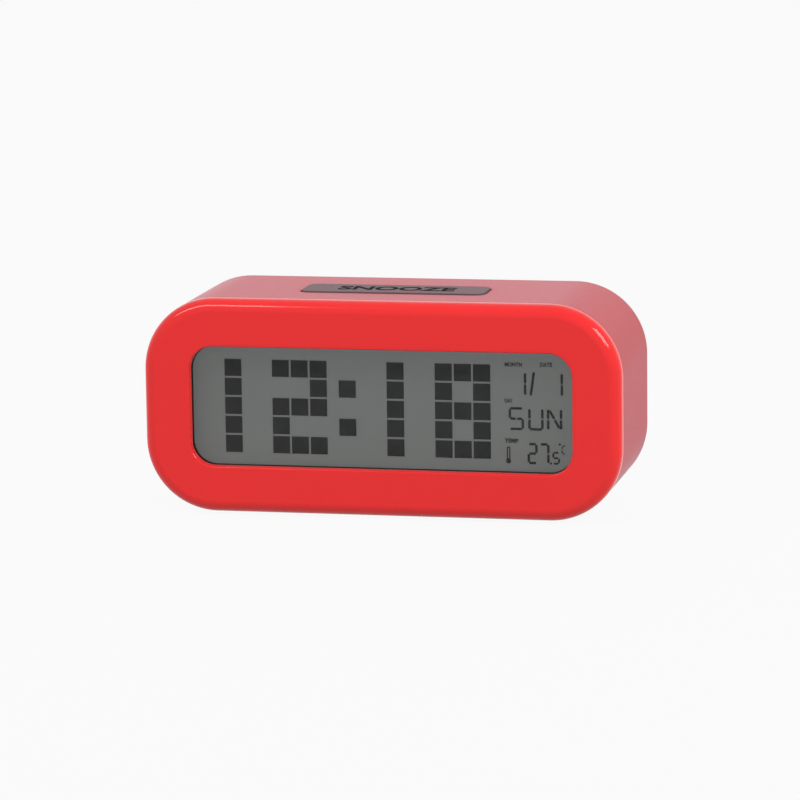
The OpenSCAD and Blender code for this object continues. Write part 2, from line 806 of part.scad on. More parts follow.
module figures_plane() {
    shown = [one, two, one, eight];
    for (i = [0 : 3]) translate([figures_x + figure_xs[i], figures_z]) large_figure(shown[i]);
    translate([figures_x + 2 * figure_step, figures_z]) large_figure(colon);
    for (f = small_figures) translate([f[1], f[2]]) small_figure(f[0], f[3], f[4]);
    translate([thermometer_x, thermometer_z]) {
        circle(thermometer_r);
        difference() {
            translate([-thermometer_stem.x / 2, 0]) square(thermometer_stem);
            translate([-thermometer_tube / 2, thermometer_r])
                square([thermometer_tube, thermometer_stem.y - thermometer_r - thermometer_tube]);
        }
    }
    translate([point_x, degrees_z]) circle(point_r);
    translate([degree_x, degree_z]) circle(point_r);
}

module lcd_segments() {
    color("black") place()
        translate([0, rear_glass_y, mid_z])
            rotate([90, 0, 0]) linear_extrude(cell_gap) scale(figures_scale) figures_plane();
}

module lcd_rear_glass() {
    color("white", 0.3) place()
        plate(glass_w, rear_glass_low, glass_top, glass_r, rear_glass_y, rear_film_y);
}

module rear_polariser() {
    color("gray") place()
        plate(guide_w, guide_low, guide_top, glass_r, rear_film_y, guide_y);
}

module light_guide() {
    notch = led_size + led_notch * [2, 2, 2];
    color("white", 0.5) place() difference() {
        plate(guide_w, guide_low, guide_top, glass_r, guide_y, pcb_y);
        for (sx = [-1, 1])
            translate([sx * guide_w / 2 - notch.x, pcb_y - led_size.y - led_notch, mid_z - notch.z / 2])
                cube([2 * notch.x, notch.y, notch.z]);
    }
}

module backlight_leds() {
    led_x = guide_w / 2 - led_notch - led_size.x / 2;
    color("white") place()
        for (sx = [-1, 1])
            translate([sx * led_x - led_size.x / 2, pcb_y - led_size.y, mid_z - led_size.z / 2])
                cube(led_size);
}

module lcd_frame() {
    slot_t = zebra_t + 2 * lap_gap;
    color("white") place() difference() {
        plate(frame_w, frame_low, frame_top, frame_r, front_glass_y, pcb_y);
        plate(
            glass_w + 2 * fit, front_glass_low - fit, glass_top + fit, glass_r + fit,
            front_glass_y - cut, rear_film_y);
        plate(
            guide_w + 2 * fit, guide_low - fit, guide_top + fit, glass_r + fit,
            front_glass_y, pcb_y + cut);
        block_between(
            [-zebra_w / 2 - fit, front_glass_y, zebra_z - slot_t / 2],
            [zebra_w / 2 + fit, pcb_y + cut, zebra_z + slot_t / 2]);
    }
}

module zebra_strip() {
    color("pink") place()
        block_between(
            [-zebra_w / 2, segment_y, zebra_z - zebra_t / 2],
            [zebra_w / 2, pcb_y, zebra_z + zebra_t / 2]);
}

module main_pcb() {
    color("darkgreen") place() difference() {
        plate(pcb_w, mid_z - pcb_h / 2, mid_z + pcb_h / 2, pcb_r, pcb_y, pcb_back);
        for (s = post_spots) bar(s.x, s.y, board_hole_r, pcb_y - cut, pcb_back + cut);
    }
}

module display_screws() {
    color("silver") place()
        for (s = post_spots)
            to_rear(s.x, pcb_back, s.y) screw(board_screw_r, pcb_t + board_bite, board_head_r, board_head_t);
}

module clock_chip() {
    color("black") place()
        to_rear(chip_x, pcb_back, mid_z)
            intersection() {
                translate([0, 0, chip_t - chip_dome_r]) sphere(chip_dome_r);
                cylinder(r = 2 * chip_r, h = chip_t);
            }
}

module crystal() {
    height = crystal_r + screw_gap;
    color("silver") place() translate([crystal_x, pcb_back + height, mid_z]) {
        rotate([0, 90, 0]) cylinder(r = crystal_r, h = crystal_l);
        for (sz = [-1, 1])
            translate([0, 0, sz * crystal_r / 2]) {
                rotate([0, -90, 0]) cylinder(r = crystal_lead_r, h = crystal_lead_l);
                translate([-crystal_lead_l, crystal_lead_r, 0])
                    rotate([90, 0, 0]) cylinder(r = crystal_lead_r, h = height + crystal_lead_r);
            }
    }
}

module temperature_sensor() {
    color("darkorange") place() to_rear(sensor_x, pcb_back, mid_z) {
        translate([0, 0, sensor_stand]) sphere(sensor_r);
        for (sx = [-1, 1])
            translate([sx * sensor_lead_x, 0, 0]) cylinder(r = sensor_lead_r, h = sensor_stand);
    }
}

// The bar's outline grown or shrunk by a rim, between two heights
module snooze_plate(rim, z0, z1) {
    translate([0, 0, z0])
        linear_extrude(z1 - z0) rounded_rect(snooze_w + 2 * rim, snooze_d + 2 * rim, snooze_r + rim);
}

module snooze_button() {
    lip_low = snooze_lip_top - snooze_lip_t;
    color("dimgray") place() translate([0, mid_y, 0]) {
        difference() {
            union() {
                snooze_plate(0, lip_low, snooze_top);
                snooze_plate(snooze_lip, lip_low, snooze_lip_top);
            }
            snooze_plate(-snooze_skirt, lip_low - cut, snooze_cap_in);
        }
        translate([0, 0, snooze_plunger_top])
            cylinder(r = snooze_boss_r, h = snooze_cap_in + snooze_cap_t / 2 - snooze_plunger_top);
        for (sx = [-1, 1])
            translate([sx * spring_x, 0, snooze_cap_in - spring_peg_l])
                cylinder(r = spring_peg_r, h = spring_peg_l + snooze_cap_t / 2);
    }
}

module snooze_plunger() {
    color("black") place() translate([0, mid_y, snooze_board_z]) tact_plunger(snooze_travel);
}

module snooze_springs() {
    spring_l = snooze_cap_in - snooze_board_z - 2 * screw_gap;
    color("silver") place()
        for (sx = [-1, 1])
            translate([sx * spring_x, mid_y, snooze_board_z + screw_gap])
                coil(spring_r, spring_r, spring_l, spring_turns, spring_wire_r);
}

module snooze_switch() {
    color("black") place() translate([0, mid_y, snooze_board_z]) tact_base();
}

module snooze_board() {
    color("darkgreen") place() translate([0, mid_y, snooze_board_z - small_board_t])
        linear_extrude(small_board_t)
            difference() {
                rounded_rect(snooze_board_w, snooze_board_d, snooze_board_r);
                for (sx = [-1, 1]) translate([sx * snooze_post_x, 0]) circle(board_hole_r);
            }
}

module snooze_screws() {
    color("silver") place()
        for (sx = [-1, 1])
            translate([sx * snooze_post_x, mid_y, snooze_board_z - small_board_t])
                rotate([180, 0, 0])
                    screw(board_screw_r, small_board_t + board_bite, board_head_r, board_head_t);
}

// Two wires from the main board up to the snooze board
module snooze_leads() {
    color("gray") place()
        for (sx = [-1, 1]) {
            x = sx * (lead_r + lead_gap / 2);
            start = [x, pcb_back, mid_z + pcb_h / 4];
            stop = [x, mid_y - snooze_board_d / 4, snooze_board_z - small_board_t];
            path = bezier(
                start, start + [0, snooze_lead_bend, 0], stop - [0, 0, snooze_lead_bend], stop, lead_steps);
            swept(path, [[0, 1, 0], [0, 0, 1]], [1, 0, 0], round_section(lead_r, lead_sides));
        }
}

// Rear button number i, which passes out through the cover
module rear_button(i) {
    color("dimgray") place() to_rear(button_xs[i], 0, row_z) {
        translate([0, 0, plunger_top]) cylinder(r = stem_r, h = lip_y - plunger_top + button_lip_t / 2);
        translate([0, 0, lip_y]) cylinder(r = button_r + button_lip, h = button_lip_t);
        translate([0, 0, lip_y]) cylinder(r = button_r, h = cover_out + button_rise - button_dome - lip_y);
        translate([0, 0, lip_y]) cylinder(r = button_r - button_dome, h = cover_out + button_rise - lip_y);
        translate([0, 0, cover_out + button_rise - button_dome])
            rotate_extrude() translate([button_r - button_dome, 0]) circle(button_dome);
    }
}

module rear_plunger(i) {
    color("black") place() to_rear(button_xs[i], board_back, row_z) tact_plunger(button_travel);
}

module mode_button() { rear_button(0); }
module set_button() { rear_button(1); }
module up_button() { rear_button(2); }
module down_button() { rear_button(3); }
module mode_plunger() { rear_plunger(0); }
module set_plunger() { rear_plunger(1); }
module up_plunger() { rear_plunger(2); }
module down_plunger() { rear_plunger(3); }

module rear_switches() {
    color("black") place()
        for (x = button_xs) to_rear(x, board_back, row_z) tact_base();
}

module alarm_switch() {
    middle = alarm_x + alarm_travel / 2;
    base_w = slide_w + alarm_travel;
    slot_w = slider_w + alarm_travel + 2 * run_gap;
    color("silver") place() difference() {
        block_between(
            [middle - base_w / 2, board_back, row_z - slide_h / 2],
            [middle + base_w / 2, board_back + slide_t, row_z + slide_h / 2]);
        block_between(
            [middle - slot_w / 2, board_back + slide_t - slider_in - run_gap, row_z - slider_h / 2 - run_gap],
            [middle + slot_w / 2, board_back + slide_t + cut, row_z + slider_h / 2 + run_gap]);
    }
}

module alarm_slider() {
    color("black") place()
        block_between(
            [alarm_x - slider_w / 2, board_back + slide_t - slider_in, row_z - slider_h / 2],
            [alarm_x + slider_w / 2, lip_y, row_z + slider_h / 2]);
}

module alarm_knob() {
    color("dimgray") place() {
        block_between(
            [alarm_x - knob_lip_w / 2, lip_y, row_z - knob_lip_h / 2],
            [alarm_x + knob_lip_w / 2, lip_y + button_lip_t, row_z + knob_lip_h / 2]);
        block_between(
            [alarm_x - knob_w / 2, lip_y, row_z - knob_h / 2],
            [alarm_x + knob_w / 2, cover_out + knob_rise, row_z + knob_h / 2]);
    }
}

module rear_board() {
    color("darkgreen") place() difference() {
        plate(board_x1 - board_x0, row_z - board_h / 2, row_z + board_h / 2, board_r, board_front, board_back,
            (board_x0 + board_x1) / 2);
        for (x = board_post_spots) bar(x, row_z, board_hole_r, board_front - cut, board_back + cut);
    }
}

module rear_board_screws() {
    color("silver") place()
        for (x = board_post_spots)
            translate([x, board_front, row_z]) rotate([90, 0, 0])
                screw(board_screw_r, small_board_t + board_bite, board_head_r, board_head_t);
}

// Flat cable between the main board and the switch board
module board_ribbon() {
    third = (board_front - pcb_back) / 3;
    start = [ribbon_x, pcb_back, row_z - board_h / 4];
    stop = [ribbon_x, board_front, row_z - board_h / 4];
    path = bezier(start, start + [0, third, -ribbon_bow], stop - [0, third, ribbon_bow], stop, lead_steps);
    corners = [[-1, -1], [1, -1], [1, 1], [-1, 1]];
    section = [for (c = corners) [c.x * ribbon_t / 2, c.y * ribbon_w / 2]];
    color("lightgray") place() swept(path, [[0, 1, 0], [0, 1, 0]], [1, 0, 0], section);
}

module buzzer() {
    plate_y = cover_y - buzzer_stand - buzzer_t;
    color("gold") place() {
        bar(buzzer_x, buzzer_z, buzzer_r, plate_y, plate_y + buzzer_t);
        bar(buzzer_x, buzzer_z, ceramic_r, plate_y - ceramic_t, plate_y + buzzer_t / 2);
    }
}

// Two thin wires from the buzzer disc to the switch board
module buzzer_leads() {
    color("gray") place()
        for (sx = [-1, 1]) {
            aside = sx * (thin_lead_r + thin_lead_gap / 2);
            rim_x = buzzer_x - buzzer_r + ceramic_rim / 2;
            start = [rim_x + aside, cover_y - buzzer_stand - buzzer_t, buzzer_z];
            stop = [board_x1 - board_edge / 2 + aside, board_front, row_z - board_h / 2 + 2 * thin_lead_r];
            bend = [0, buzzer_lead_bend, 0];
            path = bezier(start, start - 2 * bend, stop - bend, stop, lead_steps);
            swept(path, [[0, -1, 0], [0, 1, 0]], [1, 0, 0], round_section(thin_lead_r, lead_sides));
        }
}

module battery_door() {
    color("dimgray") place() {
        block_between([-door_w / 2, cover_out - door_t, hinge_z], [door_w / 2, cover_out, door_top]);
        block_between(
            [-latch_w / 2, hinge_y - latch_t / 2, door_top - latch_l],
            [latch_w / 2, hinge_y + latch_t / 2, door_top + latch_l]);
        translate([0, hinge_y, hinge_z]) rotate([0, 90, 0]) {
            cylinder(r = door_t / 2, h = door_w, center = true);
            cylinder(r = pin_r, h = door_w + 2 * pin_l, center = true);
        }
    }
}

// The upper cell's tip points to +x, the lower one's to -x
module battery_cells() {
    color("goldenrod") place()
        for (s = [-1, 1])
            translate([s * contact_x, cell_y, cell_z(s)]) rotate([0, -s * 90, 0]) {
                cylinder(r = cell_tip_r, h = cell_l / 2);
                translate([0, 0, cell_tip_l]) cylinder(r = cell_r, h = cell_l - cell_tip_l);
            }
}

// Contact strip at one end of the bay, over the cells in the list
module contact_strip(sx, cells) {
    x0 = strip_x(sx);
    x1 = x0 + contact_t;
    low = cell_z(min(cells)) - contact_w / 2;
    high = cell_z(max(cells)) + contact_w / 2;
    block_between([x0, bay_floor_y, low], [x1, bay_floor_y + contact_h, high]);
    for (c = cells)
        block_between(
            [x0, bay_floor_y - tail_l, cell_z(c) - tail_w / 2],
            [x1, bay_floor_y + contact_t, cell_z(c) + tail_w / 2]);
}

module positive_contact() {
    color("silver") place() contact_strip(-1, [-1]);
}

module negative_contact() {
    color("silver") place() contact_strip(-1, [1]);
}

module bridge_contact() {
    color("silver") place() contact_strip(1, [-1, 1]);
}

module contact_springs() {
    color("silver") place()
        for (s = [-1, 1])
            translate([-s * (contact_x - screw_gap), cell_y, cell_z(s)])
                rotate([0, s * 90, 0])
                    coil(coil_wide_r, coil_slim_r, contact_spring_l - 2 * screw_gap, coil_turns, coil_wire_r);
}

module battery_leads() {
    color("crimson") place()
        for (s = [-1, 1])
            bar(strip_x(-1) + contact_t / 2, cell_z(s), lead_r, pcb_back, bay_floor_y - tail_l);
}

front_bezel();
body_sleeve();
rear_cover();
case_screws();
rubber_feet();
display_lens();
dust_gasket();
front_polariser();
lcd_front_glass();
lcd_segments();
lcd_rear_glass();
rear_polariser();
light_guide();
backlight_leds();
lcd_frame();
zebra_strip();
main_pcb();
display_screws();
clock_chip();
crystal();
temperature_sensor();
snooze_button();
snooze_plunger();
snooze_springs();
snooze_switch();
snooze_board();
snooze_screws();
snooze_leads();
mode_button();
set_button();
up_button();
down_button();
mode_plunger();
set_plunger();
up_plunger();
down_plunger();
rear_switches();
alarm_switch();
alarm_slider();
alarm_knob();
rear_board();
rear_board_screws();
board_ribbon();
buzzer();
buzzer_leads();
battery_door();
battery_cells();
positive_contact();
negative_contact();
bridge_contact();
contact_springs();
battery_leads();
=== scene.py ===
"""Digital alarm clock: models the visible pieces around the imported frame, and sets finishes, light and camera."""
import math

import bmesh
import bpy
from bpy.props import FloatProperty, FloatVectorProperty, PointerProperty
from mathutils import Matrix, Vector


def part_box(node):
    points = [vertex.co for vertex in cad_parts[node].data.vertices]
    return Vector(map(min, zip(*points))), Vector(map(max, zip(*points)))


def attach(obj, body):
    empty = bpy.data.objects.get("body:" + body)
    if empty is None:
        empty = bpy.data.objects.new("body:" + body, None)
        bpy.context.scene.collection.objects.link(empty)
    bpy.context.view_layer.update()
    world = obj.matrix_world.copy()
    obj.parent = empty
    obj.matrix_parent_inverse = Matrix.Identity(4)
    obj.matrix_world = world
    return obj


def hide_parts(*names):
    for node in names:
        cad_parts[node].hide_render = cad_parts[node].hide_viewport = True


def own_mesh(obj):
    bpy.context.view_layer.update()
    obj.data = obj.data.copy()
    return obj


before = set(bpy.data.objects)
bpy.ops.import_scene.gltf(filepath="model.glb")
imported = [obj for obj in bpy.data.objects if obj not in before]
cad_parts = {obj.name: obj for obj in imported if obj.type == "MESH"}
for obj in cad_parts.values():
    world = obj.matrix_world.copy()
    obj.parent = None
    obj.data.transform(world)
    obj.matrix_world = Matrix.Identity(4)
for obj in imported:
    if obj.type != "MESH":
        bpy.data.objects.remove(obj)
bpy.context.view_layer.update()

bl_info = {
    "name": "Digital alarm clock",
    "version": (1, 0, 0),
    "blender": (4, 5, 0),
    "location": "3D View > Sidebar > Clock",
    "description": "Models a tube-shaped digital alarm clock around its packed frame",
    "category": "Object",
}

MM = 0.001
NEAR = 0.002 * MM
X, Y, Z = 0, 1, 2

# Facets of a large, a plate's and a small corner, of a rounded, a small and a fine edge, and of round pieces
CORNER_STEPS = 24
PLATE_STEPS = 12
SMALL_STEPS = 4
ROUND_STEPS = 8
EDGE_STEPS = 3
FINE_STEPS = 2
BAR_SIDES = 48
POST_SIDES = 24
CAP_SIDES = 64

# Shell, in millimetres
BEZEL_FACE = 3.0
SPIGOT = 5.0
SPIGOT_INSET = 1.45
SPIGOT_WALL = 1.5
SLEEVE_LAP = 1.3
SLEEVE_LAP_DEPTH = 5.2
SLEEVE_WALL = 2.8
REAR_LIP = 1.6
BOSS = {"x": 45.0, "z": (7.2, 61.4), "radius": 2.7, "bore": 1.3, "end": -7.0, "deep": 8.5, "rib": 1.2}
DISPLAY_POST = {"x": 67.2, "z": (21.3, 47.3), "radius": 2.4, "bore": 1.0, "end": -17.2, "deep": 4.7}
SNOOZE_POST = {"x": 33.3, "foot": 57.0, "radius": 2.4, "bore": 1.0, "deep": 4.7}
LENS_LAP = 2.9
# How far the black lens print reaches inside the window: a band of painted shade along the recess walls
BORDER_SHOWN = 0.15
SKIN = 0.02
GLASS_CORNER = 0.5
FILM_CORNER = 1.0
SLOT_GAP = 0.4
SLOT_EDGE = 0.3
FOOT_GAP = 0.1
REAR_STEP = 2.2
RIB = {"root": 1.0, "short": 0.2, "wall": 2.2}
PAST = 1.0

# Feet, lens, bar and rear pieces, in millimetres
FOOT = {"radius": 4.5, "edge": 0.35, "rim": 0.9, "dish": 0.25}
LENS = {"corner": 10.4, "edge": 0.15, "mask_inset": 0.2, "mask_corner": 10.2, "mask_front": 0.04, "mask_back": 0.01}
LEGENDS = (("MONTH", 40.9, 48.6, 5.4), ("DATE", 51.08, 48.75, 3.75), ("DAY", 39.4, 37.35, 2.6),
           ("TEMP", 40.15, 24.9, 4.3))
LEGEND_INK = 0.08
BAR = {"lip": 1.6, "lip_gap": 0.1, "lip_thick": 1.2, "ink": 0.05, "roof": 2.0, "boss": 2.6, "root": 1.0,
       "peg_x": 58 / 3, "peg": 1.3, "peg_foot": 7.0, "word_x": 0.5, "word_width": 37.0}
REAR_WORD = {"ink": 0.06, "above": 2.0, "alarm_above": 3.0, "off": 7.4, "on": 7.0, "half_travel": 2.0}
BUTTON = {"lip": 4.6, "lip_thick": 1.0, "stem": 1.5, "cap": 3.4, "edge": 0.5,
          "dish": ((0.5, 0), (0.6, 0.12), (0.6, 0.08), (0.5, 0.03))}
KNOB = {"half_width": 1.7, "half_height": 1.8, "lip_thick": 1.0, "corner": 0.4, "edge": 0.3,
        "pitch": 0.95, "groove": 0.2, "deep": 0.4}
RIDGE = {"rows": 5, "first": 2.2, "pitch": 1.3, "half_width": 8, "half_height": 0.3, "out": 0.4,
         "corner": 0.28, "edge": 0.2}
LATCH = 1.0

# Springs, leads and cells, in millimetres
RETURN_SPRING = {"wire": 0.3, "inset": 2.2, "radius": 1.9, "turns": 6, "drop": 1}
CONTACT_SPRING = {"foot": 3.0, "head": 1.8, "long": 3.9, "turns": 3}
LEAD = {"thick": 0.6, "thin": 0.4, "reach": 8, "bow": 4, "strands": 10}
CELL = {"radius": 5.25, "long": 44.5, "tip": 0.8, "tip_radius": 1.9, "edge": 0.5, "ring": 0.4, "ring_deep": 0.2,
        "shoulder": 0.9, "tip_edge": 0.3, "foot_ring": 0.8, "foot_deep": 0.15, "bare": 0.6}

# Finishes of the CAD nodes that stay: two close tones, grain in mm, gloss from and to, relief in mm, metal
CARRIED = {
    "steel": ("#C9CACC", "#A9ABAE", 0.8, (0.22, 0.38), 0.002, 1.0),
    "foam": ("#141414", "#0A0A0A", 0.5, (0.85, 0.95), 0.060, 0.0),
    "segment_black": ("#2A2B2B", "#262727", 0.8, (0.75, 0.85), 0.0002, 0.0),
    "milk_plastic": ("#EEEDE6", "#E2E1D8", 4.0, (0.3, 0.4), 0.002, 0.0),
    "white_plastic": ("#E9E8E2", "#DBDAD3", 1.0, (0.4, 0.5), 0.006, 0.0),
    "zebra_rubber": ("#D8A8A0", "#C08A80", 0.4, (0.6, 0.75), 0.010, 0.0),
    "board": ("#1F6B3A", "#17542D", 2.2, (0.3, 0.45), 0.015, 0.0),
    "epoxy": ("#17181A", "#0E0F10", 1.4, (0.25, 0.4), 0.020, 0.0),
    "switch_black": ("#202124", "#151619", 0.6, (0.4, 0.55), 0.008, 0.0),
    "brass": ("#C9A552", "#B08C3C", 0.9, (0.25, 0.4), 0.004, 1.0),
}


def linear(code):
    """Linear red, green, blue and alpha of an sRGB hex colour."""
    shares = [int(code[i:i + 2], 16) / 255 for i in (1, 3, 5)]
    return [c / 12.92 if c <= 0.04045 else ((c + 0.055) / 1.055) ** 2.4 for c in shares] + [1.0]


def length(name, description, millimetres):
    """A size that a user may change, in metres."""
    return FloatProperty(name=name, description=description, default=millimetres * MM, unit="LENGTH", precision=5)


def tint(name, description, code):
    """A colour that a user may change."""
    return FloatVectorProperty(
        name=name, description=description, default=linear(code), size=4, min=0, max=1, subtype="COLOR")


class ClockSizes(bpy.types.PropertyGroup):
    """Sizes of the modelled pieces"""
    corner: length("Corner radius", "Outer radius of the four long edges", 22.5)
    front_round: length("Front edge", "Radius of the bezel's front edge", 4.0)
    seam_round: length("Seam edge", "Radius of the two edges at the seam", 0.3)
    rim_round: length("Rear rim", "Radius along the sleeve's rear rim", 1.2)
    window_side: length("Window side", "Width of the bezel's face beside the window", 14.9)
    window_rail: length("Window rail", "Height of the bezel's face above and below the window", 14.7)
    window_corner: length("Window corner", "Corner radius of the window", 7.5)
    window_edge: length("Window edge", "Radius of the window's front edge", 0.5)
    bar_corner: length("Bar corner", "Corner radius of the snooze bar", 3.0)
    bar_edge: length("Bar edge", "Radius around the top of the snooze bar", 0.2)
    bar_letters: length("Bar lettering", "Height of the letters on the snooze bar", 7.4)
    legend: length("Legend", "Height of the small words in the display", 1.35)
    rear_letters: length("Rear lettering", "Height of the words on the rear cover", 1.7)
    rear_edge: length("Rear edges", "Radius of the small edges of the rear pieces", 0.25)


class ClockColours(bpy.types.PropertyGroup):
    """Colours of the modelled pieces"""
    bezel: tint("Bezel", "Red of the gloss bezel", "#EC2829")
    bezel_shade: tint("Bezel shade", "Second tone of the bezel", "#E62627")
    sleeve: tint("Sleeve", "Red of the coated sleeve", "#B61C22")
    sleeve_shade: tint("Sleeve shade", "Second tone of the sleeve", "#B01A20")
    # The snooze bar's two greys carry a mauve tint: painted reflection of the red case around the bar
    bar: tint("Bar", "Grey of the snooze bar", "#6A5256")
    bar_shade: tint("Bar shade", "Second tone of the grey", "#654D51")
    button: tint("Button", "Grey of the rear buttons and the alarm knob", "#666464")
    button_shade: tint("Button shade", "Second tone of the button grey", "#605E5E")
    rear: tint("Rear", "Black of the rear cover and the battery door", "#262628")
    rear_shade: tint("Rear shade", "Second tone of the black", "#212123")
    print_dark: tint("Dark print", "Lettering on the bar and in the display", "#161616")
    print_light: tint("Light print", "Lettering on the rear cover", "#B9BABC")
    display: tint("Display", "Grey of the display behind the figures", "#5A5D5B")
    display_shade: tint("Display shade", "Second tone of the display", "#565957")


def add_node(tree, kind, inputs=None, **settings):
    """Add a node, set its options, and fill or link its inputs."""
    node = tree.nodes.new(kind)
    for key, value in settings.items():
        setattr(node, key, value)
    for key, value in (inputs or {}).items():
        if isinstance(value, bpy.types.NodeSocket):
            tree.links.new(value, node.inputs[key])
        else:
            node.inputs[key].default_value = value
    return node


def finish(name, light, dark, grain, gloss, relief, **sockets):
    """A surface that wanders between two close tones and two levels of gloss, with relief of one grain size."""
    material = bpy.data.materials.new(name)
    material.use_nodes = True
    tree = material.node_tree
    shader = tree.nodes["Principled BSDF"]
    place = add_node(tree, "ShaderNodeTexCoord").outputs["Object"]
    wander = add_node(tree, "ShaderNodeTexNoise", {"Vector": place, "Scale": 1 / (12 * grain * MM), "Detail": 3.0})
    fine = add_node(tree, "ShaderNodeTexNoise", {"Vector": place, "Scale": 1 / (grain * MM), "Detail": 2.0})
    tone = add_node(tree, "ShaderNodeMix", {0: wander.outputs["Fac"], 6: light, 7: dark}, data_type="RGBA")
    shine = add_node(tree, "ShaderNodeMapRange",
                     {"Value": fine.outputs["Fac"], "From Min": 0.3, "From Max": 0.7,
                      "To Min": gloss[0], "To Max": gloss[1]})
    bump = add_node(tree, "ShaderNodeBump", {"Height": fine.outputs["Fac"], "Distance": relief * MM})
    tree.links.new(tone.outputs[2], shader.inputs["Base Color"])
    tree.links.new(shine.outputs["Result"], shader.inputs["Roughness"])
    tree.links.new(bump.outputs["Normal"], shader.inputs["Normal"])
    for key, value in sockets.items():
        shader.inputs[key.replace("_", " ")].default_value = value
    return material


def select_none():
    """Close the open piece and deselect everything."""
    if bpy.context.mode != "OBJECT":
        bpy.ops.object.mode_set(mode="OBJECT")
    bpy.ops.object.select_all(action="DESELECT")


def select_only(piece):
    """Make one piece the only selected and active one."""
    select_none()
    piece.select_set(True)
    bpy.context.view_layer.objects.active = piece


def named(name):
    """Name the piece that an operator has just added, with its place in its mesh."""
    piece = bpy.context.object
    piece.name = piece.data.name = name
    bpy.ops.object.transform_apply(location=True, rotation=True, scale=True)
    return piece


def start_block(name, low, high):
    """A block between two corners, as a start."""
    low, high = Vector(low), Vector(high)
    select_none()
    bpy.ops.mesh.primitive_cube_add(size=1, location=(low + high) / 2, scale=high - low)
    return named(name)


def start_bar(name, centre, axis, start, end, radius, sides=BAR_SIDES):
    """A round bar along one axis between two levels, as a start."""
    spot = Vector(centre)
    spot[axis] = (start + end) / 2
    turn = ((0, math.pi / 2, 0), (math.pi / 2, 0, 0), (0, 0, 0))[axis]
    select_none()
    bpy.ops.mesh.primitive_cylinder_add(
        vertices=sides, radius=radius, depth=abs(end - start), location=spot, rotation=turn)
    return named(name)


def edit(piece):
    """Open a piece for modelling."""
    select_only(piece)
    bpy.ops.object.mode_set(mode="EDIT")


def pick(kind, test):
    """Select the faces or edges of the open piece that pass a test."""
    bpy.ops.mesh.select_mode(type=kind)
    bpy.ops.mesh.select_all(action="DESELECT")
    data = bpy.context.edit_object.data
    mesh = bmesh.from_edit_mesh(data)
    found = [part for part in {"FACE": mesh.faces, "EDGE": mesh.edges}[kind] if test(part)]
    if not found:
        raise RuntimeError(f"nothing to shape on {bpy.context.edit_object.name}")
    for part in found:
        part.select_set(True)
    mesh.select_flush_mode()
    bmesh.update_edit_mesh(data)


def at(part, axis, level):
    """Whether every corner of a face or edge lies at one level."""
    return all(abs(corner.co[axis] - level) < NEAR for corner in part.verts)


def inside(part, low, high):
    """Whether every corner of a face or edge lies in a box."""
    return all(low[i] - NEAR <= corner.co[i] <= high[i] + NEAR for corner in part.verts for i in range(3))


def sharp(edge, angle=math.radians(40)):
    """Whether an edge is a clear fold."""
    return edge.is_manifold and edge.calc_face_angle() > angle


def end_face(axis, level, side):
    """Select the face at one level that looks along one axis."""
    pick("FACE", lambda f: at(f, axis, level) and f.normal[axis] * side > 0.9)


def bevel(radius, steps):
    """Round the selected edges."""
    bpy.ops.mesh.bevel(offset=radius, segments=steps, profile=0.5, affect="EDGES")


def inset(width):
    """Step the selected face inwards."""
    bpy.ops.mesh.inset(thickness=width, use_even_offset=True)


def extrude(axis, distance):
    """Pull the selected face out or push it in."""
    step = [0, 0, 0]
    step[axis] = distance
    bpy.ops.mesh.extrude_region_move(TRANSFORM_OT_translate={"value": step})


def slice_at(axis, *levels):
    """Cut the open piece's faces along planes, so that no face has a hole in it later."""
    normal = [0, 0, 0]
    normal[axis] = 1
    for level in levels:
        bpy.ops.mesh.select_all(action="SELECT")
        bpy.ops.mesh.bisect(plane_co=[level * part for part in normal], plane_no=normal)


def rounded_plate(name, low, high, axis, corner, low_round=0, high_round=0, steps=CORNER_STEPS):
    """A block with its edges along one axis rounded, and the edges round its two ends; left open for modelling."""
    piece = start_block(name, low, high)
    edit(piece)
    pick("EDGE", lambda e: abs((e.verts[1].co - e.verts[0].co).normalized()[axis]) > 0.99)
    bevel(corner, steps)
    for level, radius in ((low[axis], low_round), (high[axis], high_round)):
        if radius:
            pick("EDGE", lambda e: at(e, axis, level))
            bevel(radius, ROUND_STEPS if radius > 1 * MM else EDGE_STEPS)
    return piece


def combine(piece, tool, action):
    """Fuse a tool into a piece, or cut it out."""
    select_only(piece)
    modifier = piece.modifiers.new("Shape", "BOOLEAN")
    modifier.object = tool
    modifier.operation = action
    modifier.solver = "EXACT"
    bpy.ops.object.modifier_apply(modifier=modifier.name)
    bpy.data.meshes.remove(tool.data)
    return piece


def weld(piece):
    """Merge the doubled corners of a converted piece, and turn its faces outwards."""
    edit(piece)
    bpy.ops.mesh.select_all(action="SELECT")
    bpy.ops.mesh.remove_doubles(threshold=NEAR)
    bpy.ops.mesh.normals_make_consistent(inside=False)
    return piece


def post(name, centre, axis, root, end, form):
    """A post with a blind hole in its end, in one of the named forms."""
    radius, bore, deep = (form[key] * MM for key in ("radius", "bore", "deep"))
    piece = start_bar(name, centre, axis, root, end, radius, POST_SIDES)
    edit(piece)
    away = 1 if end > root else -1
    end_face(axis, end, away)
    inset(radius - bore)
    extrude(axis, -away * deep)
    return piece


def copy_node(name, node):
    """A copy of a CAD node, merged into one skin."""
    piece = bpy.data.objects.new(name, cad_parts[node].data.copy())
    piece.data.name = name
    bpy.context.scene.collection.objects.link(piece)
    select_only(piece)
    bpy.ops.mesh.customdata_custom_splitnormals_clear()
    edit(piece)
    bpy.ops.mesh.select_all(action="SELECT")
    bpy.ops.mesh.remove_doubles(threshold=NEAR)
    bpy.ops.mesh.dissolve_limited(angle_limit=math.radians(0.5))
    return piece


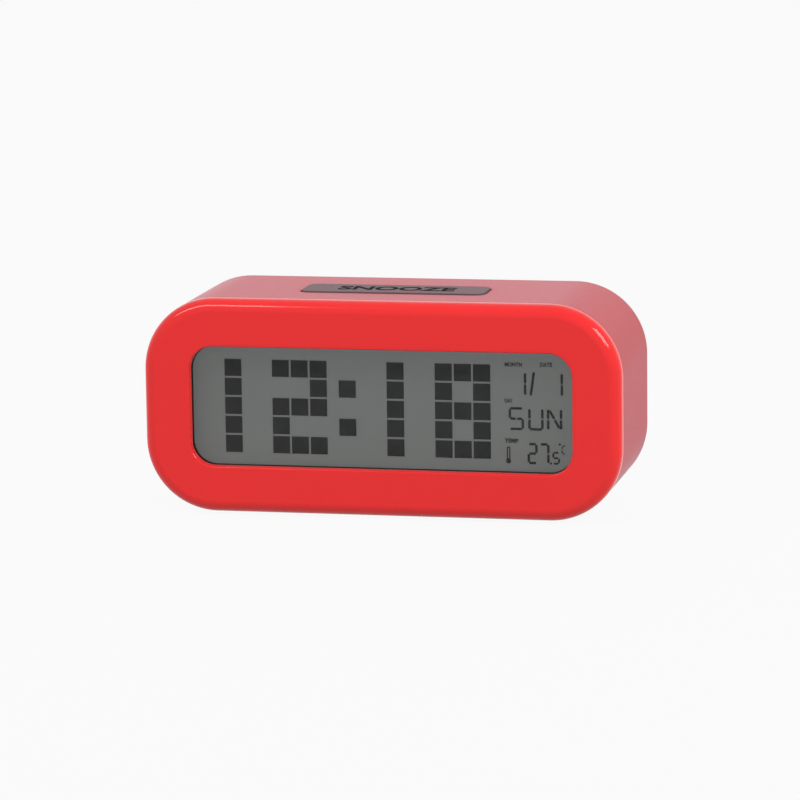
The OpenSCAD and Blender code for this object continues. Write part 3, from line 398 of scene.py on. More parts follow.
def lettering(name, words, centre, height, thick, turn, width=0, bold=0):
    """Raised words, with the middle of their back at one place."""
    select_none()
    bpy.ops.object.text_add()
    piece = bpy.context.object
    piece.data.body = words
    piece.data.align_x, piece.data.align_y = "CENTER", "CENTER"
    piece.data.extrude, piece.data.offset = 0.5, bold
    bpy.ops.object.convert(target="MESH")
    piece = bpy.context.object
    corners = [v.co for v in piece.data.vertices]
    low = Vector([min(c[i] for c in corners) for i in range(3)])
    high = Vector([max(c[i] for c in corners) for i in range(3)])
    span = high - low
    size = Vector((width / span.x if width else height / span.y, height / span.y, thick / span.z))
    middle = (low + high) / 2
    middle.z = low.z
    piece.matrix_world = (Matrix.Translation(centre) @ Matrix(turn).to_4x4() @ Matrix.Diagonal(size).to_4x4()
                          @ Matrix.Translation(-middle))
    return weld(named(name))


def join(name, pieces):
    """Make one piece of several."""
    select_only(pieces[0])
    for piece in pieces:
        piece.select_set(True)
    if len(pieces) > 1:
        bpy.ops.object.join()
    piece = bpy.context.object
    piece.name = piece.data.name = name
    return piece


def dress(piece, body, material, slot, *nodes, angle=32):
    """Shade a piece, give it its finish, and set what carries it and which nodes it stands for."""
    select_only(piece)
    bpy.ops.object.shade_smooth_by_angle(angle=math.radians(angle))
    modifier = piece.modifiers.new("Flat faces first", "WEIGHTED_NORMAL")
    modifier.keep_sharp = True
    bpy.ops.object.modifier_apply(modifier=modifier.name)
    piece.data.materials.clear()
    piece.data.materials.append(material)
    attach(piece, body)
    if nodes:
        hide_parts(*nodes)
    return piece


# Turns of lettering: on the front, on the rear, and on the top as read from the front
FRONT = ((1, 0, 0), (0, 0, -1), (0, 1, 0))
REAR = ((-1, 0, 0), (0, 0, 1), (0, 1, 0))
TOP = ((1, 0, 0), (0, 1, 0), (0, 0, 1))


class CLOCK_OT_carried(bpy.types.Operator):
    """Give each CAD node that stays visible a finish for its material slot"""
    bl_idname = "clock.carried"
    bl_label = "Carried-over nodes"

    def execute(self, context):
        finishes = {}
        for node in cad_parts.values():
            slot = node.data.materials[0].name
            if node.hide_render or slot not in CARRIED:
                continue
            if slot not in finishes:
                light, dark, grain, gloss, relief, metal = CARRIED[slot]
                finishes[slot] = finish(
                    "Inner " + slot.replace("_", " "), linear(light), linear(dark), grain, gloss, relief,
                    Metallic=metal)
            node.data.materials[0] = finishes[slot]
        return {"FINISHED"}


class CLOCK_OT_bezel(bpy.types.Operator):
    """Model the gloss front frame with its window, spigot, bosses and posts"""
    bl_idname = "clock.bezel"
    bl_label = "Front bezel"

    def execute(self, context):
        sizes, colours = context.scene.clock_sizes, context.scene.clock_colours
        low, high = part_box("front_bezel")
        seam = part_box("body_sleeve")[0].y
        high.y = seam
        inner = low.y + BEZEL_FACE * MM
        piece = rounded_plate("bezel", low, high, Y, sizes.corner, sizes.front_round, sizes.seam_round)
        end_face(Y, seam, 1)
        inset(SPIGOT_INSET * MM - sizes.seam_round)
        extrude(Y, SPIGOT * MM)
        inset(SPIGOT_WALL * MM)
        extrude(Y, inner - seam - SPIGOT * MM)
        slice_at(X, *(x * MM for x in (-DISPLAY_POST["x"], -BOSS["x"], 0, BOSS["x"], DISPLAY_POST["x"])))

        root = low.y + BEZEL_FACE * MM / 2
        for x in (-1, 1):
            for z in BOSS["z"]:
                spot = (x * BOSS["x"] * MM, 0, z * MM)
                combine(piece, post("boss", spot, Y, root, BOSS["end"] * MM, BOSS), "UNION")
                below = z * MM < (low.z + high.z) / 2
                wall = low.z if below else high.z
                reach = RIB["wall"] * MM if below else -RIB["wall"] * MM
                ends = sorted((wall + reach, z * MM - math.copysign(BOSS["radius"] * MM / 2, reach)))
                rib = start_block("rib", (spot[0] - BOSS["rib"] * MM / 2, inner - RIB["root"] * MM, ends[0]),
                                  (spot[0] + BOSS["rib"] * MM / 2, seam + SPIGOT * MM - RIB["short"] * MM, ends[1]))
                combine(piece, rib, "UNION")
            for z in DISPLAY_POST["z"]:
                spot = (x * DISPLAY_POST["x"] * MM, 0, z * MM)
                combine(piece, post("post", spot, Y, root, DISPLAY_POST["end"] * MM, DISPLAY_POST), "UNION")

        window_low = Vector((low.x + sizes.window_side, low.y - PAST * MM, low.z + sizes.window_rail))
        window_high = Vector((high.x - sizes.window_side, inner + PAST * MM, high.z - sizes.window_rail))
        window = rounded_plate("window", window_low, window_high, Y, sizes.window_corner)
        combine(piece, window, "DIFFERENCE")
        edit(piece)
        pick("EDGE", lambda e: at(e, Y, low.y) and inside(e, window_low, window_high) and sharp(e))
        bevel(sizes.window_edge, EDGE_STEPS)

        # High-gloss moulded ABS: a deep red under a clear skin, with the faint waviness of a polished mould
        gloss = finish("Polished moulded ABS red", colours.bezel, colours.bezel_shade, 3.0, (0.08, 0.10), 0.0003,
                       IOR=1.33)
        dress(piece, "root", gloss, "gloss_red", "front_bezel")
        return {"FINISHED"}


class CLOCK_OT_sleeve(bpy.types.Operator):
    """Model the tube that forms the top, bottom and sides, with the slot, laps and foot recesses"""
    bl_idname = "clock.sleeve"
    bl_label = "Body sleeve"

    def execute(self, context):
        sizes, colours = context.scene.clock_sizes, context.scene.clock_colours
        low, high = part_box("body_sleeve")
        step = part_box("rear_cover")[1].y - REAR_STEP * MM
        piece = rounded_plate("sleeve", low, high, Y, sizes.corner, sizes.seam_round, sizes.rim_round)
        end_face(Y, low.y, -1)
        inset(SLEEVE_LAP * MM - sizes.seam_round)
        extrude(Y, SLEEVE_LAP_DEPTH * MM)
        inset((SLEEVE_WALL - SLEEVE_LAP) * MM)
        extrude(Y, step - low.y - SLEEVE_LAP_DEPTH * MM)
        end_face(Y, high.y, 1)
        inset(REAR_LIP * MM - sizes.rim_round)
        extrude(Y, step - high.y)
        inset((SLEEVE_WALL - REAR_LIP) * MM)
        pick("FACE", lambda f: at(f, Y, step) and len(f.verts) > 4)
        bpy.ops.mesh.delete(type="FACE")
        pick("EDGE", lambda e: at(e, Y, step))
        bpy.ops.mesh.remove_doubles(threshold=0.05 * MM)
        feet_low, feet_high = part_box("rubber_feet")
        radius = FOOT["radius"] * MM
        beside = (SNOOZE_POST["x"] - SNOOZE_POST["radius"] / 3) * MM
        slice_at(X, feet_low.x + radius, -beside, 0, beside, feet_high.x - radius)

        for x in (-1, 1):
            combine(piece, post("post", (x * SNOOZE_POST["x"] * MM, 0, 0), Z, high.z - SLEEVE_WALL * MM / 2,
                                SNOOZE_POST["foot"] * MM, SNOOZE_POST), "UNION")
        bar_low, bar_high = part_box("snooze_button")
        lip = Vector((BAR["lip"], BAR["lip"], 0)) * MM
        gap = Vector((SLOT_GAP, SLOT_GAP, 0)) * MM
        slot_low, slot_high = bar_low + lip - gap, bar_high - lip + gap
        slot = rounded_plate("slot", slot_low, slot_high + Vector((0, 0, PAST * MM)), Z,
                             sizes.bar_corner + SLOT_GAP * MM)
        combine(piece, slot, "DIFFERENCE")
        for x in (feet_low.x + radius, feet_high.x - radius):
            for y in (feet_low.y + radius, feet_high.y - radius):
                recess = start_bar("recess", (x, y, 0), Z, -PAST * MM, feet_high.z, radius + FOOT_GAP * MM)
                combine(piece, recess, "DIFFERENCE")
        edit(piece)
        pick("EDGE", lambda e: at(e, Z, high.z) and inside(e, slot_low, slot_high) and sharp(e))
        bevel(SLOT_EDGE * MM, EDGE_STEPS)

        # ABS under a soft-touch coat: a deeper, velvety red that pales where the light grazes it
        satin = finish("Soft-touch coated ABS red", colours.sleeve, colours.sleeve_shade, 0.9, (0.5, 0.56), 0.002,
                       Sheen_Weight=0.28, Sheen_Roughness=0.4, Sheen_Tint=linear("#EEF1FF"))
        dress(piece, "root", satin, "satin_red", "body_sleeve")
        return {"FINISHED"}


class CLOCK_OT_feet(bpy.types.Operator):
    """Model the four round rubber feet with their dished soles"""
    bl_idname = "clock.feet"
    bl_label = "Rubber feet"

    def execute(self, context):
        low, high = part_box("rubber_feet")
        radius = FOOT["radius"] * MM
        feet = []
        for x in (low.x + radius, high.x - radius):
            for y in (low.y + radius, high.y - radius):
                foot = start_bar("foot", (x, y, 0), Z, low.z, high.z, radius)
                edit(foot)
                pick("EDGE", lambda e: at(e, Z, low.z))
                bevel(FOOT["edge"] * MM, EDGE_STEPS)
                end_face(Z, low.z, -1)
                inset(FOOT["rim"] * MM)
                inset(FOOT["dish"] * MM)
                bpy.ops.transform.translate(value=(0, 0, FOOT["dish"] * MM))
                feet.append(foot)
        # Moulded rubber: matt black with a dusty bloom and fine pitting
        rubber = finish("Moulded rubber black", linear("#1C1C1C"), linear("#131313"), 0.5, (0.75, 0.9), 0.03)
        dress(join("feet", feet), "root", rubber, "rubber", "rubber_feet")
        return {"FINISHED"}


def filmed_glass(name, low, high, film, film_corner):
    """One display glass with the polariser that is stuck to it."""
    piece = rounded_plate(name, low, high, Y, GLASS_CORNER * MM, 0, 0, SMALL_STEPS)
    film_low, film_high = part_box(film)
    middle = (low.y + high.y) / 2
    if film_high.y < middle:
        film_high.y = middle
    else:
        film_low.y = middle
    layer = rounded_plate("film", film_low, film_high, Y, film_corner, 0, 0, SMALL_STEPS)
    return combine(piece, layer, "UNION")


class CLOCK_OT_display(bpy.types.Operator):
    """Model the window lens, the two display glasses with their films, and the printed legends"""
    bl_idname = "clock.display"
    bl_label = "Display"

    def execute(self, context):
        sizes, colours = context.scene.clock_sizes, context.scene.clock_colours
        low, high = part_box("display_lens")
        lens = rounded_plate("lens", low, high, Y, LENS["corner"] * MM, LENS["edge"] * MM,
                             LENS["edge"] * MM, PLATE_STEPS)
        # Hard-coated acrylic with a reflection-cutting coat: all but clear, with a thin cool gleam
        clear = finish("Coated clear acrylic", linear("#101312"), linear("#0E1110"), 6.0, (0.04, 0.06), 0.0004,
                       Alpha=0.14, IOR=1.49)
        dress(lens, "root", clear, "clear_lens", "display_lens", angle=1)

        edge = LENS["mask_inset"] * MM
        border = rounded_plate("lens_border_painted_shade", (low.x + edge, high.y - LENS["mask_front"] * MM, low.z + edge),
                               (high.x - edge, high.y - LENS["mask_back"] * MM, high.z - edge), Y,
                               LENS["mask_corner"] * MM, 0, 0, PLATE_STEPS)
        slice_at(X, 0)
        lap = LENS_LAP * MM + BORDER_SHOWN * MM
        opening = rounded_plate("opening", (low.x + lap, low.y, low.z + lap),
                                (high.x - lap, high.y + PAST * MM, high.z - lap), Y,
                                sizes.window_corner - BORDER_SHOWN * MM, 0, 0, PLATE_STEPS)
        combine(border, opening, "DIFFERENCE")
        # Screen print on the back of the lens: dense matt black. The thin band of it that shows inside the window's
        # left and bottom edges is painted shade of the recess walls
        mask = finish("Screen print black", linear("#0E0E0E"), linear("#0A0A0A"), 0.5, (0.6, 0.7), 0.001)
        dress(border, "root", mask, "clear_lens")

        low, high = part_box("lcd_front_glass")
        high.y -= SKIN * MM
        glass = filmed_glass("front_glass", low, high, "front_polariser", FILM_CORNER * MM)
        # Float glass under a polarising film: clear, with a trace of grey green
        thin = finish("Filmed float glass", linear("#1C201E"), linear("#191D1B"), 4.0, (0.12, 0.16), 0.0004,
                      Alpha=0.05)
        dress(glass, "root", thin, "lcd_glass", "lcd_front_glass", "front_polariser", angle=1)

        low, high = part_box("lcd_rear_glass")
        low.y += SKIN * MM
        panel = filmed_glass("display_panel", low, high, "rear_polariser", GLASS_CORNER * MM)
        # Reflective polariser seen through the liquid crystal: even grey with the faintest grain.
        # Its faint white glow is painted light that lifts the shade the deep window recess casts on the display
        grey = finish("Reflective display film", colours.display, colours.display_shade, 0.6, (0.5, 0.6), 0.0008,
                      Emission_Color=linear("#F0F6F3"), Emission_Strength=0.15)
        dress(panel, "root", grey, "reflector", "lcd_rear_glass", "rear_polariser", angle=1)

        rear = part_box("lcd_segments")[1].y
        words = []
        for text, x, z, width in LEGENDS:
            words.append(lettering("legend", text, (x * MM, rear, z * MM), sizes.legend, LEGEND_INK * MM, FRONT,
                                   width * MM, 0.04))
        # Printed mask on the glass: matt dark grey
        ink = finish("Printed display mask", linear("#1B1C1C"), linear("#171818"), 0.5, (0.5, 0.6), 0.001)
        dress(join("legends", words), "root", ink, "segment_black")
        return {"FINISHED"}


class CLOCK_OT_snooze_bar(bpy.types.Operator):
    """Model the snooze bar with its flange, pegs and lettering"""
    bl_idname = "clock.snooze_bar"
    bl_label = "Snooze bar"

    def execute(self, context):
        sizes, colours = context.scene.clock_sizes, context.scene.clock_colours
        low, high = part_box("snooze_button")
        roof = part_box("body_sleeve")[1].z
        lip = BAR["lip"] * MM
        lip_top = roof - SLEEVE_WALL * MM - BAR["lip_gap"] * MM
        lip_low = lip_top - BAR["lip_thick"] * MM
        print_t = BAR["ink"] * MM
        top = high.z - print_t
        piece = rounded_plate("snooze_bar", (low.x + lip, low.y + lip, lip_low), (high.x - lip, high.y - lip, top),
                              Z, sizes.bar_corner, 0, sizes.bar_edge, PLATE_STEPS)
        flange = rounded_plate("flange", (low.x, low.y, lip_low), (high.x, high.y, lip_top), Z,
                               sizes.bar_corner + lip, 0, 0, PLATE_STEPS)
        combine(piece, flange, "UNION")
        hollow = rounded_plate("hollow", (low.x + 2 * lip, low.y + 2 * lip, lip_low - PAST * MM),
                               (high.x - 2 * lip, high.y - 2 * lip, high.z - BAR["roof"] * MM), Z,
                               sizes.bar_corner - lip, 0, 0, PLATE_STEPS)
        combine(piece, hollow, "DIFFERENCE")
        boss_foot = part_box("snooze_plunger")[1].z
        root = high.z - BAR["root"] * MM
        combine(piece, start_bar("boss", (0, 0, 0), Z, boss_foot, root, BAR["boss"] * MM, POST_SIDES), "UNION")
        for x in (-1, 1):
            peg = start_bar("peg", (x * BAR["peg_x"] * MM, 0, 0), Z, high.z - BAR["peg_foot"] * MM, root,
                            BAR["peg"] * MM, POST_SIDES)
            combine(piece, peg, "UNION")
        # Soft-touch coat on moulded ABS: grey with a mauve tint that is painted reflection of the red case around
        # it, and that turns pale where it is seen at a low angle
        grey = finish("Soft-touch coated ABS grey", colours.bar, colours.bar_shade, 0.45, (0.5, 0.58), 0.003,
                      Specular_IOR_Level=0.25)
        dress(piece, "snooze", grey, "grey_plastic", "snooze_button")
        word = lettering("snooze_lettering", "SNOOZE", (BAR["word_x"] * MM, 0, top), sizes.bar_letters, print_t,
                         TOP, BAR["word_width"] * MM, 0.03)
        # Pad print: flat near-black ink with no gleam
        ink = finish("Pad print dark", colours.print_dark, linear("#121212"), 0.5, (0.85, 0.95), 0.002,
                     Specular_IOR_Level=0.1)
        dress(word, "snooze", ink, "grey_plastic")
        return {"FINISHED"}


class CLOCK_OT_rear_cover(bpy.types.Operator):
    """Model the rear cover with softened edges, and its printed words"""
    bl_idname = "clock.rear_cover"
    bl_label = "Rear cover"

    def execute(self, context):
        sizes, colours = context.scene.clock_sizes, context.scene.clock_colours
        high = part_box("rear_cover")[1]
        piece = copy_node("rear_shell", "rear_cover")
        pick("EDGE", lambda e: at(e, Y, high.y) and sharp(e))
        bevel(sizes.rear_edge, FINE_STEPS)
        # ABS from a spark-eroded mould: matt black with a fine even grain
        black = finish("Grained moulded ABS black", colours.rear, colours.rear_shade, 0.45, (0.45, 0.6), 0.014)
        dress(piece, "root", black, "black_plastic", "rear_cover")

        marks = []
        for node, text in (("mode_button", "MODE"), ("set_button", "SET"), ("up_button", "UP"),
                           ("down_button", "DOWN")):
            first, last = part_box(node)
            marks.append((text, (first.x + last.x) / 2, last.z + REAR_WORD["above"] * MM))
        first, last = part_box("alarm_knob")
        middle, level = (first.x + last.x) / 2 + REAR_WORD["half_travel"] * MM, (first.z + last.z) / 2
        marks += [("ALARM", middle, last.z + REAR_WORD["alarm_above"] * MM),
                  ("OFF", middle - REAR_WORD["off"] * MM, level), ("ON", middle + REAR_WORD["on"] * MM, level)]
        words = [lettering("word", text, (x, high.y, z), sizes.rear_letters, REAR_WORD["ink"] * MM, REAR)
                 for text, x, z in marks]
        # Pad print: thin, even, slightly raised pale grey ink
        ink = finish("Pad print pale", colours.print_light, linear("#AEAFB1"), 0.5, (0.45, 0.55), 0.002)
        dress(join("rear_words", words), "root", ink, "black_plastic")
        return {"FINISHED"}


class CLOCK_OT_rear_buttons(bpy.types.Operator):
    """Model the four rear push buttons with their lips, stems and dished caps"""
    bl_idname = "clock.rear_buttons"
    bl_label = "Rear buttons"

    def execute(self, context):
        colours = context.scene.clock_colours
        # Grained ABS: mid grey with a low, even shine
        grey = finish("Grained moulded ABS button grey", colours.button, colours.button_shade, 0.45, (0.38, 0.5),
                      0.008)
        for name in ("mode", "set", "up", "down"):
            low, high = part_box(name + "_button")
            centre = (low + high) / 2
            lip = BUTTON["lip"] * MM
            lip_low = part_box("alarm_slider")[1].y
            lip_high = lip_low + BUTTON["lip_thick"] * MM
            piece = start_bar(name + "_cap", centre, Y, lip_low, lip_high, lip, CAP_SIDES)
            edit(piece)
            end_face(Y, lip_low, -1)
            inset(lip - BUTTON["stem"] * MM)
            extrude(Y, low.y - lip_low)
            end_face(Y, lip_high, 1)
            inset(lip - BUTTON["cap"] * MM)
            extrude(Y, high.y - lip_high)
            pick("EDGE", lambda e: at(e, Y, high.y))
            bevel(BUTTON["edge"] * MM, 5)
            end_face(Y, high.y, 1)
            for width, depth in BUTTON["dish"]:
                inset(width * MM)
                bpy.ops.transform.translate(value=(0, -depth * MM, 0))
            dress(piece, name, grey, "grey_plastic", name + "_button")
        return {"FINISHED"}


class CLOCK_OT_alarm_knob(bpy.types.Operator):
    """Model the alarm slide knob with its lip and thumb ridges"""
    bl_idname = "clock.alarm_knob"
    bl_label = "Alarm knob"

    def execute(self, context):
        colours = context.scene.clock_colours
        low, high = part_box("alarm_knob")
        centre = (low + high) / 2
        half_w, half_h = KNOB["half_width"] * MM, KNOB["half_height"] * MM
        lip_top = low.y + KNOB["lip_thick"] * MM
        piece = rounded_plate("alarm_slide_knob", (centre.x - half_w, low.y, centre.z - half_h),
                              (centre.x + half_w, high.y, centre.z + half_h), Y, KNOB["corner"] * MM, 0,
                              KNOB["edge"] * MM, SMALL_STEPS)
        combine(piece, start_block("lip", low, (high.x, lip_top, high.z)), "UNION")
        for step in (-1, 0, 1):
            x = centre.x + step * KNOB["pitch"] * MM
            groove = start_block("groove", (x - KNOB["groove"] * MM, high.y - KNOB["deep"] * MM, low.z),
                                 (x + KNOB["groove"] * MM, high.y + PAST * MM, high.z))
            combine(piece, groove, "DIFFERENCE")
        # Grained ABS: the buttons' mid grey with a low, even shine
        grey = finish("Grained moulded ABS knob grey", colours.button, colours.button_shade, 0.45, (0.38, 0.5),
                      0.008)
        dress(piece, "alarm", grey, "grey_plastic", "alarm_knob")
        return {"FINISHED"}


class CLOCK_OT_battery_door(bpy.types.Operator):
    """Model the battery door with softened edges and thumb ridges"""
    bl_idname = "clock.battery_door"
    bl_label = "Battery door"

    def execute(self, context):
        sizes, colours = context.scene.clock_sizes, context.scene.clock_colours
        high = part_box("battery_door")[1]
        top = high.z - LATCH * MM
        piece = copy_node("battery_lid", "battery_door")
        pick("EDGE", lambda e: at(e, Y, high.y) and sharp(e))
        bevel(sizes.rear_edge, FINE_STEPS)
        half_w, half_h, out = (RIDGE[key] * MM for key in ("half_width", "half_height", "out"))
        for row in range(RIDGE["rows"]):
            z = top - (RIDGE["first"] + RIDGE["pitch"] * row) * MM
            ridge = rounded_plate("ridge", (-half_w, high.y - out, z - half_h), (half_w, high.y + out, z + half_h),
                                  Y, RIDGE["corner"] * MM, 0, RIDGE["edge"] * MM, SMALL_STEPS)
            combine(piece, ridge, "UNION")
        # ABS from a spark-eroded mould: the rear cover's matt black with a fine even grain
        black = finish("Grained moulded ABS door black", colours.rear, colours.rear_shade, 0.45, (0.45, 0.6), 0.014)
        dress(piece, "door", black, "black_plastic", "battery_door")
        return {"FINISHED"}


def wire(name, paths, radius):
    """Round wire along paths, as a mesh."""
    pieces = []
    for path in paths:
        select_none()
        bpy.ops.curve.primitive_nurbs_path_add()
        piece = bpy.context.object
        spline = piece.data.splines[0]
        spline.points.add(len(path) - len(spline.points))
        for point, spot in zip(spline.points, path):
            point.co = (*spot, 1)
        piece.data.bevel_depth = radius
        piece.data.bevel_resolution = 3
        piece.data.use_fill_caps = True
        spline.resolution_u = 3
        bpy.ops.object.convert(target="MESH")
        pieces.append(weld(named(name)))
    return join(name, pieces)


def coil(foot, along, start_radius, end_radius, height, turns):
    """Points of a spring wire that winds from its foot along a direction."""
    along = Vector(along).normalized()
    side = along.orthogonal().normalized()
    other = along.cross(side)
    points = []
    steps = 24 * turns
    for i in range(steps + 1):
        share = i / steps
        angle = 2 * math.pi * turns * share
        radius = start_radius + (end_radius - start_radius) * share
        points.append(Vector(foot) + along * height * share
                      + radius * (math.cos(angle) * side + math.sin(angle) * other))
    return points


def bend(start, first, second, stop, steps=16):
    """Points of a smooth curve from start to stop."""
    a, b, c, d = (Vector(p) for p in (start, first, second, stop))
    return [(1 - t) ** 3 * a + 3 * (1 - t) ** 2 * t * b + 3 * (1 - t) * t * t * c + t ** 3 * d
            for t in (i / steps for i in range(steps + 1))]


class CLOCK_OT_springs(bpy.types.Operator):
    """Wind the return springs of the snooze bar and the battery contact springs"""
    bl_idname = "clock.springs"
    bl_label = "Springs"

    def execute(self, context):
        # Spring steel wire: bright drawn metal with a faintly uneven shine
        steel = finish("Drawn spring steel", linear("#C6C7C9"), linear("#9FA1A4"), 0.4, (0.18, 0.32), 0.002,
                       Metallic=1.0)
        low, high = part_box("snooze_springs")
        wire_r = RETURN_SPRING["wire"] * MM
        middle = high.x - RETURN_SPRING["inset"] * MM
        coil_r = RETURN_SPRING["radius"] * MM
        pair = [coil((x, 0, low.z + wire_r), (0, 0, 1), coil_r, coil_r, high.z - low.z - 2 * wire_r,
                     RETURN_SPRING["turns"])
                for x in (-middle, middle)]
        piece = wire("return_springs", pair, wire_r)
        dress(piece, "root", steel, "steel", "snooze_springs")
        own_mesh(piece)

        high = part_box("contact_springs")[1]
        cells_low, cells_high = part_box("battery_cells")
        cell_r = CELL["radius"] * MM
        pair = []
        for side, z in ((-1, cells_high.z - cell_r), (1, cells_low.z + cell_r)):
            foot = (side * (high.x - wire_r), (cells_low.y + cells_high.y) / 2, z)
            pair.append(coil(foot, (-side, 0, 0), CONTACT_SPRING["foot"] * MM, CONTACT_SPRING["head"] * MM,
                             CONTACT_SPRING["long"] * MM, CONTACT_SPRING["turns"]))
        dress(wire("cell_springs", pair, wire_r), "root", steel, "steel", "contact_springs")
        return {"FINISHED"}


class CLOCK_OT_leads(bpy.types.Operator):
    """Lay the insulated leads and the flat cable inside the shell"""
    bl_idname = "clock.leads"
    bl_label = "Leads"

    def execute(self, context):
        # Extruded vinyl insulation: smooth and softly shiny
        grey = finish("Extruded vinyl grey", linear("#8C8D90"), linear("#7B7C80"), 1.2, (0.35, 0.45), 0.003)
        red = finish("Extruded vinyl red", linear("#B3191C"), linear("#9C1518"), 1.2, (0.35, 0.45), 0.003)
        low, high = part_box("snooze_leads")
        reach = LEAD["reach"] * MM
        lead, thin = LEAD["thick"] * MM, LEAD["thin"] * MM
        paths = []
        for x in (low.x + lead, high.x - lead):
            start, stop = Vector((x, low.y, low.z + lead)), Vector((x, high.y - lead, high.z))
            paths.append(bend(start, start + Vector((0, reach, 0)), stop - Vector((0, 0, reach)), stop))
        dress(wire("bar_leads", paths, lead), "root", grey, "lead_grey", "snooze_leads")

        low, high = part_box("buzzer_leads")
        paths = []
        for x in (low.x + thin, high.x - thin):
            start = Vector((x, high.y, low.z + thin))
            stop = Vector((x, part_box("rear_board")[0].y, high.z - thin))
            paths.append(bend(start, start - Vector((0, 2 * reach, 0)), stop - Vector((0, reach, 0)), stop))
        dress(wire("sounder_leads", paths, thin), "root", grey, "lead_grey", "buzzer_leads")

        low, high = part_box("battery_leads")
        paths = []
        for z in (low.z + lead, high.z - lead):
            start, stop = Vector(((low.x + high.x) / 2, low.y, z)), Vector(((low.x + high.x) / 2, high.y, z))
            paths.append(bend(start, start.lerp(stop, 1 / 3), start.lerp(stop, 2 / 3), stop))
        dress(wire("cell_leads", paths, lead), "root", red, "lead_red", "battery_leads")

        low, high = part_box("board_ribbon")
        third = (high.y - low.y) / 3
        start = Vector((low.x + thin, low.y, high.z - thin / 2))
        stop = Vector((low.x + thin, high.y, high.z - thin / 2))
        bow = Vector((0, 0, -LEAD["bow"] * MM))
        core = bend(start, start + Vector((0, third, 0)) + bow, stop - Vector((0, third, 0)) + bow, stop)
        count = LEAD["strands"]
        pitch = (high.x - low.x - 2 * thin) / (count - 1)
        paths = [[spot + Vector((i * pitch, 0, 0)) for spot in core] for i in range(count)]
        dress(wire("flat_cable", paths, thin), "root", grey, "lead_grey", "board_ribbon")
        return {"FINISHED"}


class CLOCK_OT_cells(bpy.types.Operator):
    """Model the two dry cells with their sleeves, rims and tips"""
    bl_idname = "clock.cells"
    bl_label = "Cells"

    def execute(self, context):
        low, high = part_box("battery_cells")
        radius, tip, tip_r = (CELL[key] * MM for key in ("radius", "tip", "tip_radius"))
        cells = []
        for side, z in ((1, high.z - radius), (-1, low.z + radius)):
            head = high.x if side > 0 else low.x
            foot = head - side * CELL["long"] * MM
            shoulder = head - side * tip
            cell = start_bar("cell", (0, (low.y + high.y) / 2, z), X, *sorted((foot, shoulder)), radius,
                             CAP_SIDES)
            edit(cell)
            pick("EDGE", lambda e: at(e, X, foot) or at(e, X, shoulder))
            bevel(CELL["edge"] * MM, SMALL_STEPS)
            end_face(X, shoulder, side)
            inset(CELL["ring"] * MM)
            bpy.ops.transform.translate(value=(-side * CELL["ring_deep"] * MM, 0, 0))
            inset(radius - CELL["shoulder"] * MM - tip_r)
            extrude(X, side * (tip + CELL["ring_deep"] * MM))
            pick("EDGE", lambda e: at(e, X, head))
            bevel(CELL["tip_edge"] * MM, EDGE_STEPS)
            end_face(X, foot, -side)
            inset(CELL["foot_ring"] * MM)
            bpy.ops.transform.translate(value=(side * CELL["foot_deep"] * MM, 0, 0))
            cells.append(cell)
        piece = join("dry_cells", cells)
        # Shrink sleeve over a steel can: a satin blue print
        material = finish("Shrink-sleeved cell", linear("#2C4A6E"), linear("#284466"), 1.5, (0.25, 0.35), 0.002)
        dress(piece, "root", material, "cell_wrap", "battery_cells")
        # Plated steel: the bright bare ends of the can
        steel = finish("Plated cell steel", linear("#C9CACC"), linear("#B4B6B8"), 0.8, (0.2, 0.3), 0.001,
                       Metallic=1.0)
        piece.data.materials.append(steel)
        for face in piece.data.polygons:
            off = math.hypot(face.center.y - (low.y + high.y) / 2,
                             min(abs(face.center.z - (high.z - radius)), abs(face.center.z - (low.z + radius))))
            if off < radius - CELL["bare"] * MM:
                face.material_index = 1
        return {"FINISHED"}


# Camera: distance and target in metres, angles in degrees, as fitted to the view
VIEW = {"distance": 1.3, "azimuth": 12.55, "elevation": 10.06, "roll": -0.81, "lens": 190.6,
        "shift": (0.0264, 0.0136), "target": (0, -0.027, 0.0343)}

# Light from the studio's walls: low and high in front of the clock, and the share that comes from behind it
SURROUND = {"low": 1.24, "high": 0.22, "rear": 0.8}
# Floor: radius in metres, and the share of its colour that is the white background; the rest keeps the shadow
FLOOR_RADIUS = 8
FLOOR_WHITE = 0.93

# Softboxes: place, the point each one faces, width, height and power
LAMPS = {
    "long_softbox": ((-0.88, -0.70, 1.10), (-0.88, 0, 0.06), 1.10, 0.22, 9.4),
    "side_softbox": ((0.95, -0.34, 0.74), (0, 0, 0.034), 0.50, 0.46, 8.6),
}


def shown(tree):
    """1 on the rays that show the white background: the camera's, and those that gloss and glass send on."""
    rays = add_node(tree, "ShaderNodeLightPath").outputs
    seen = add_node(tree, "ShaderNodeMath", {0: rays["Is Camera Ray"], 1: rays["Is Glossy Ray"]},
                    operation="MAXIMUM")
    return add_node(tree, "ShaderNodeMath", {0: seen.outputs[0], 1: rays["Is Transmission Ray"]},
                    operation="MAXIMUM").outputs[0]


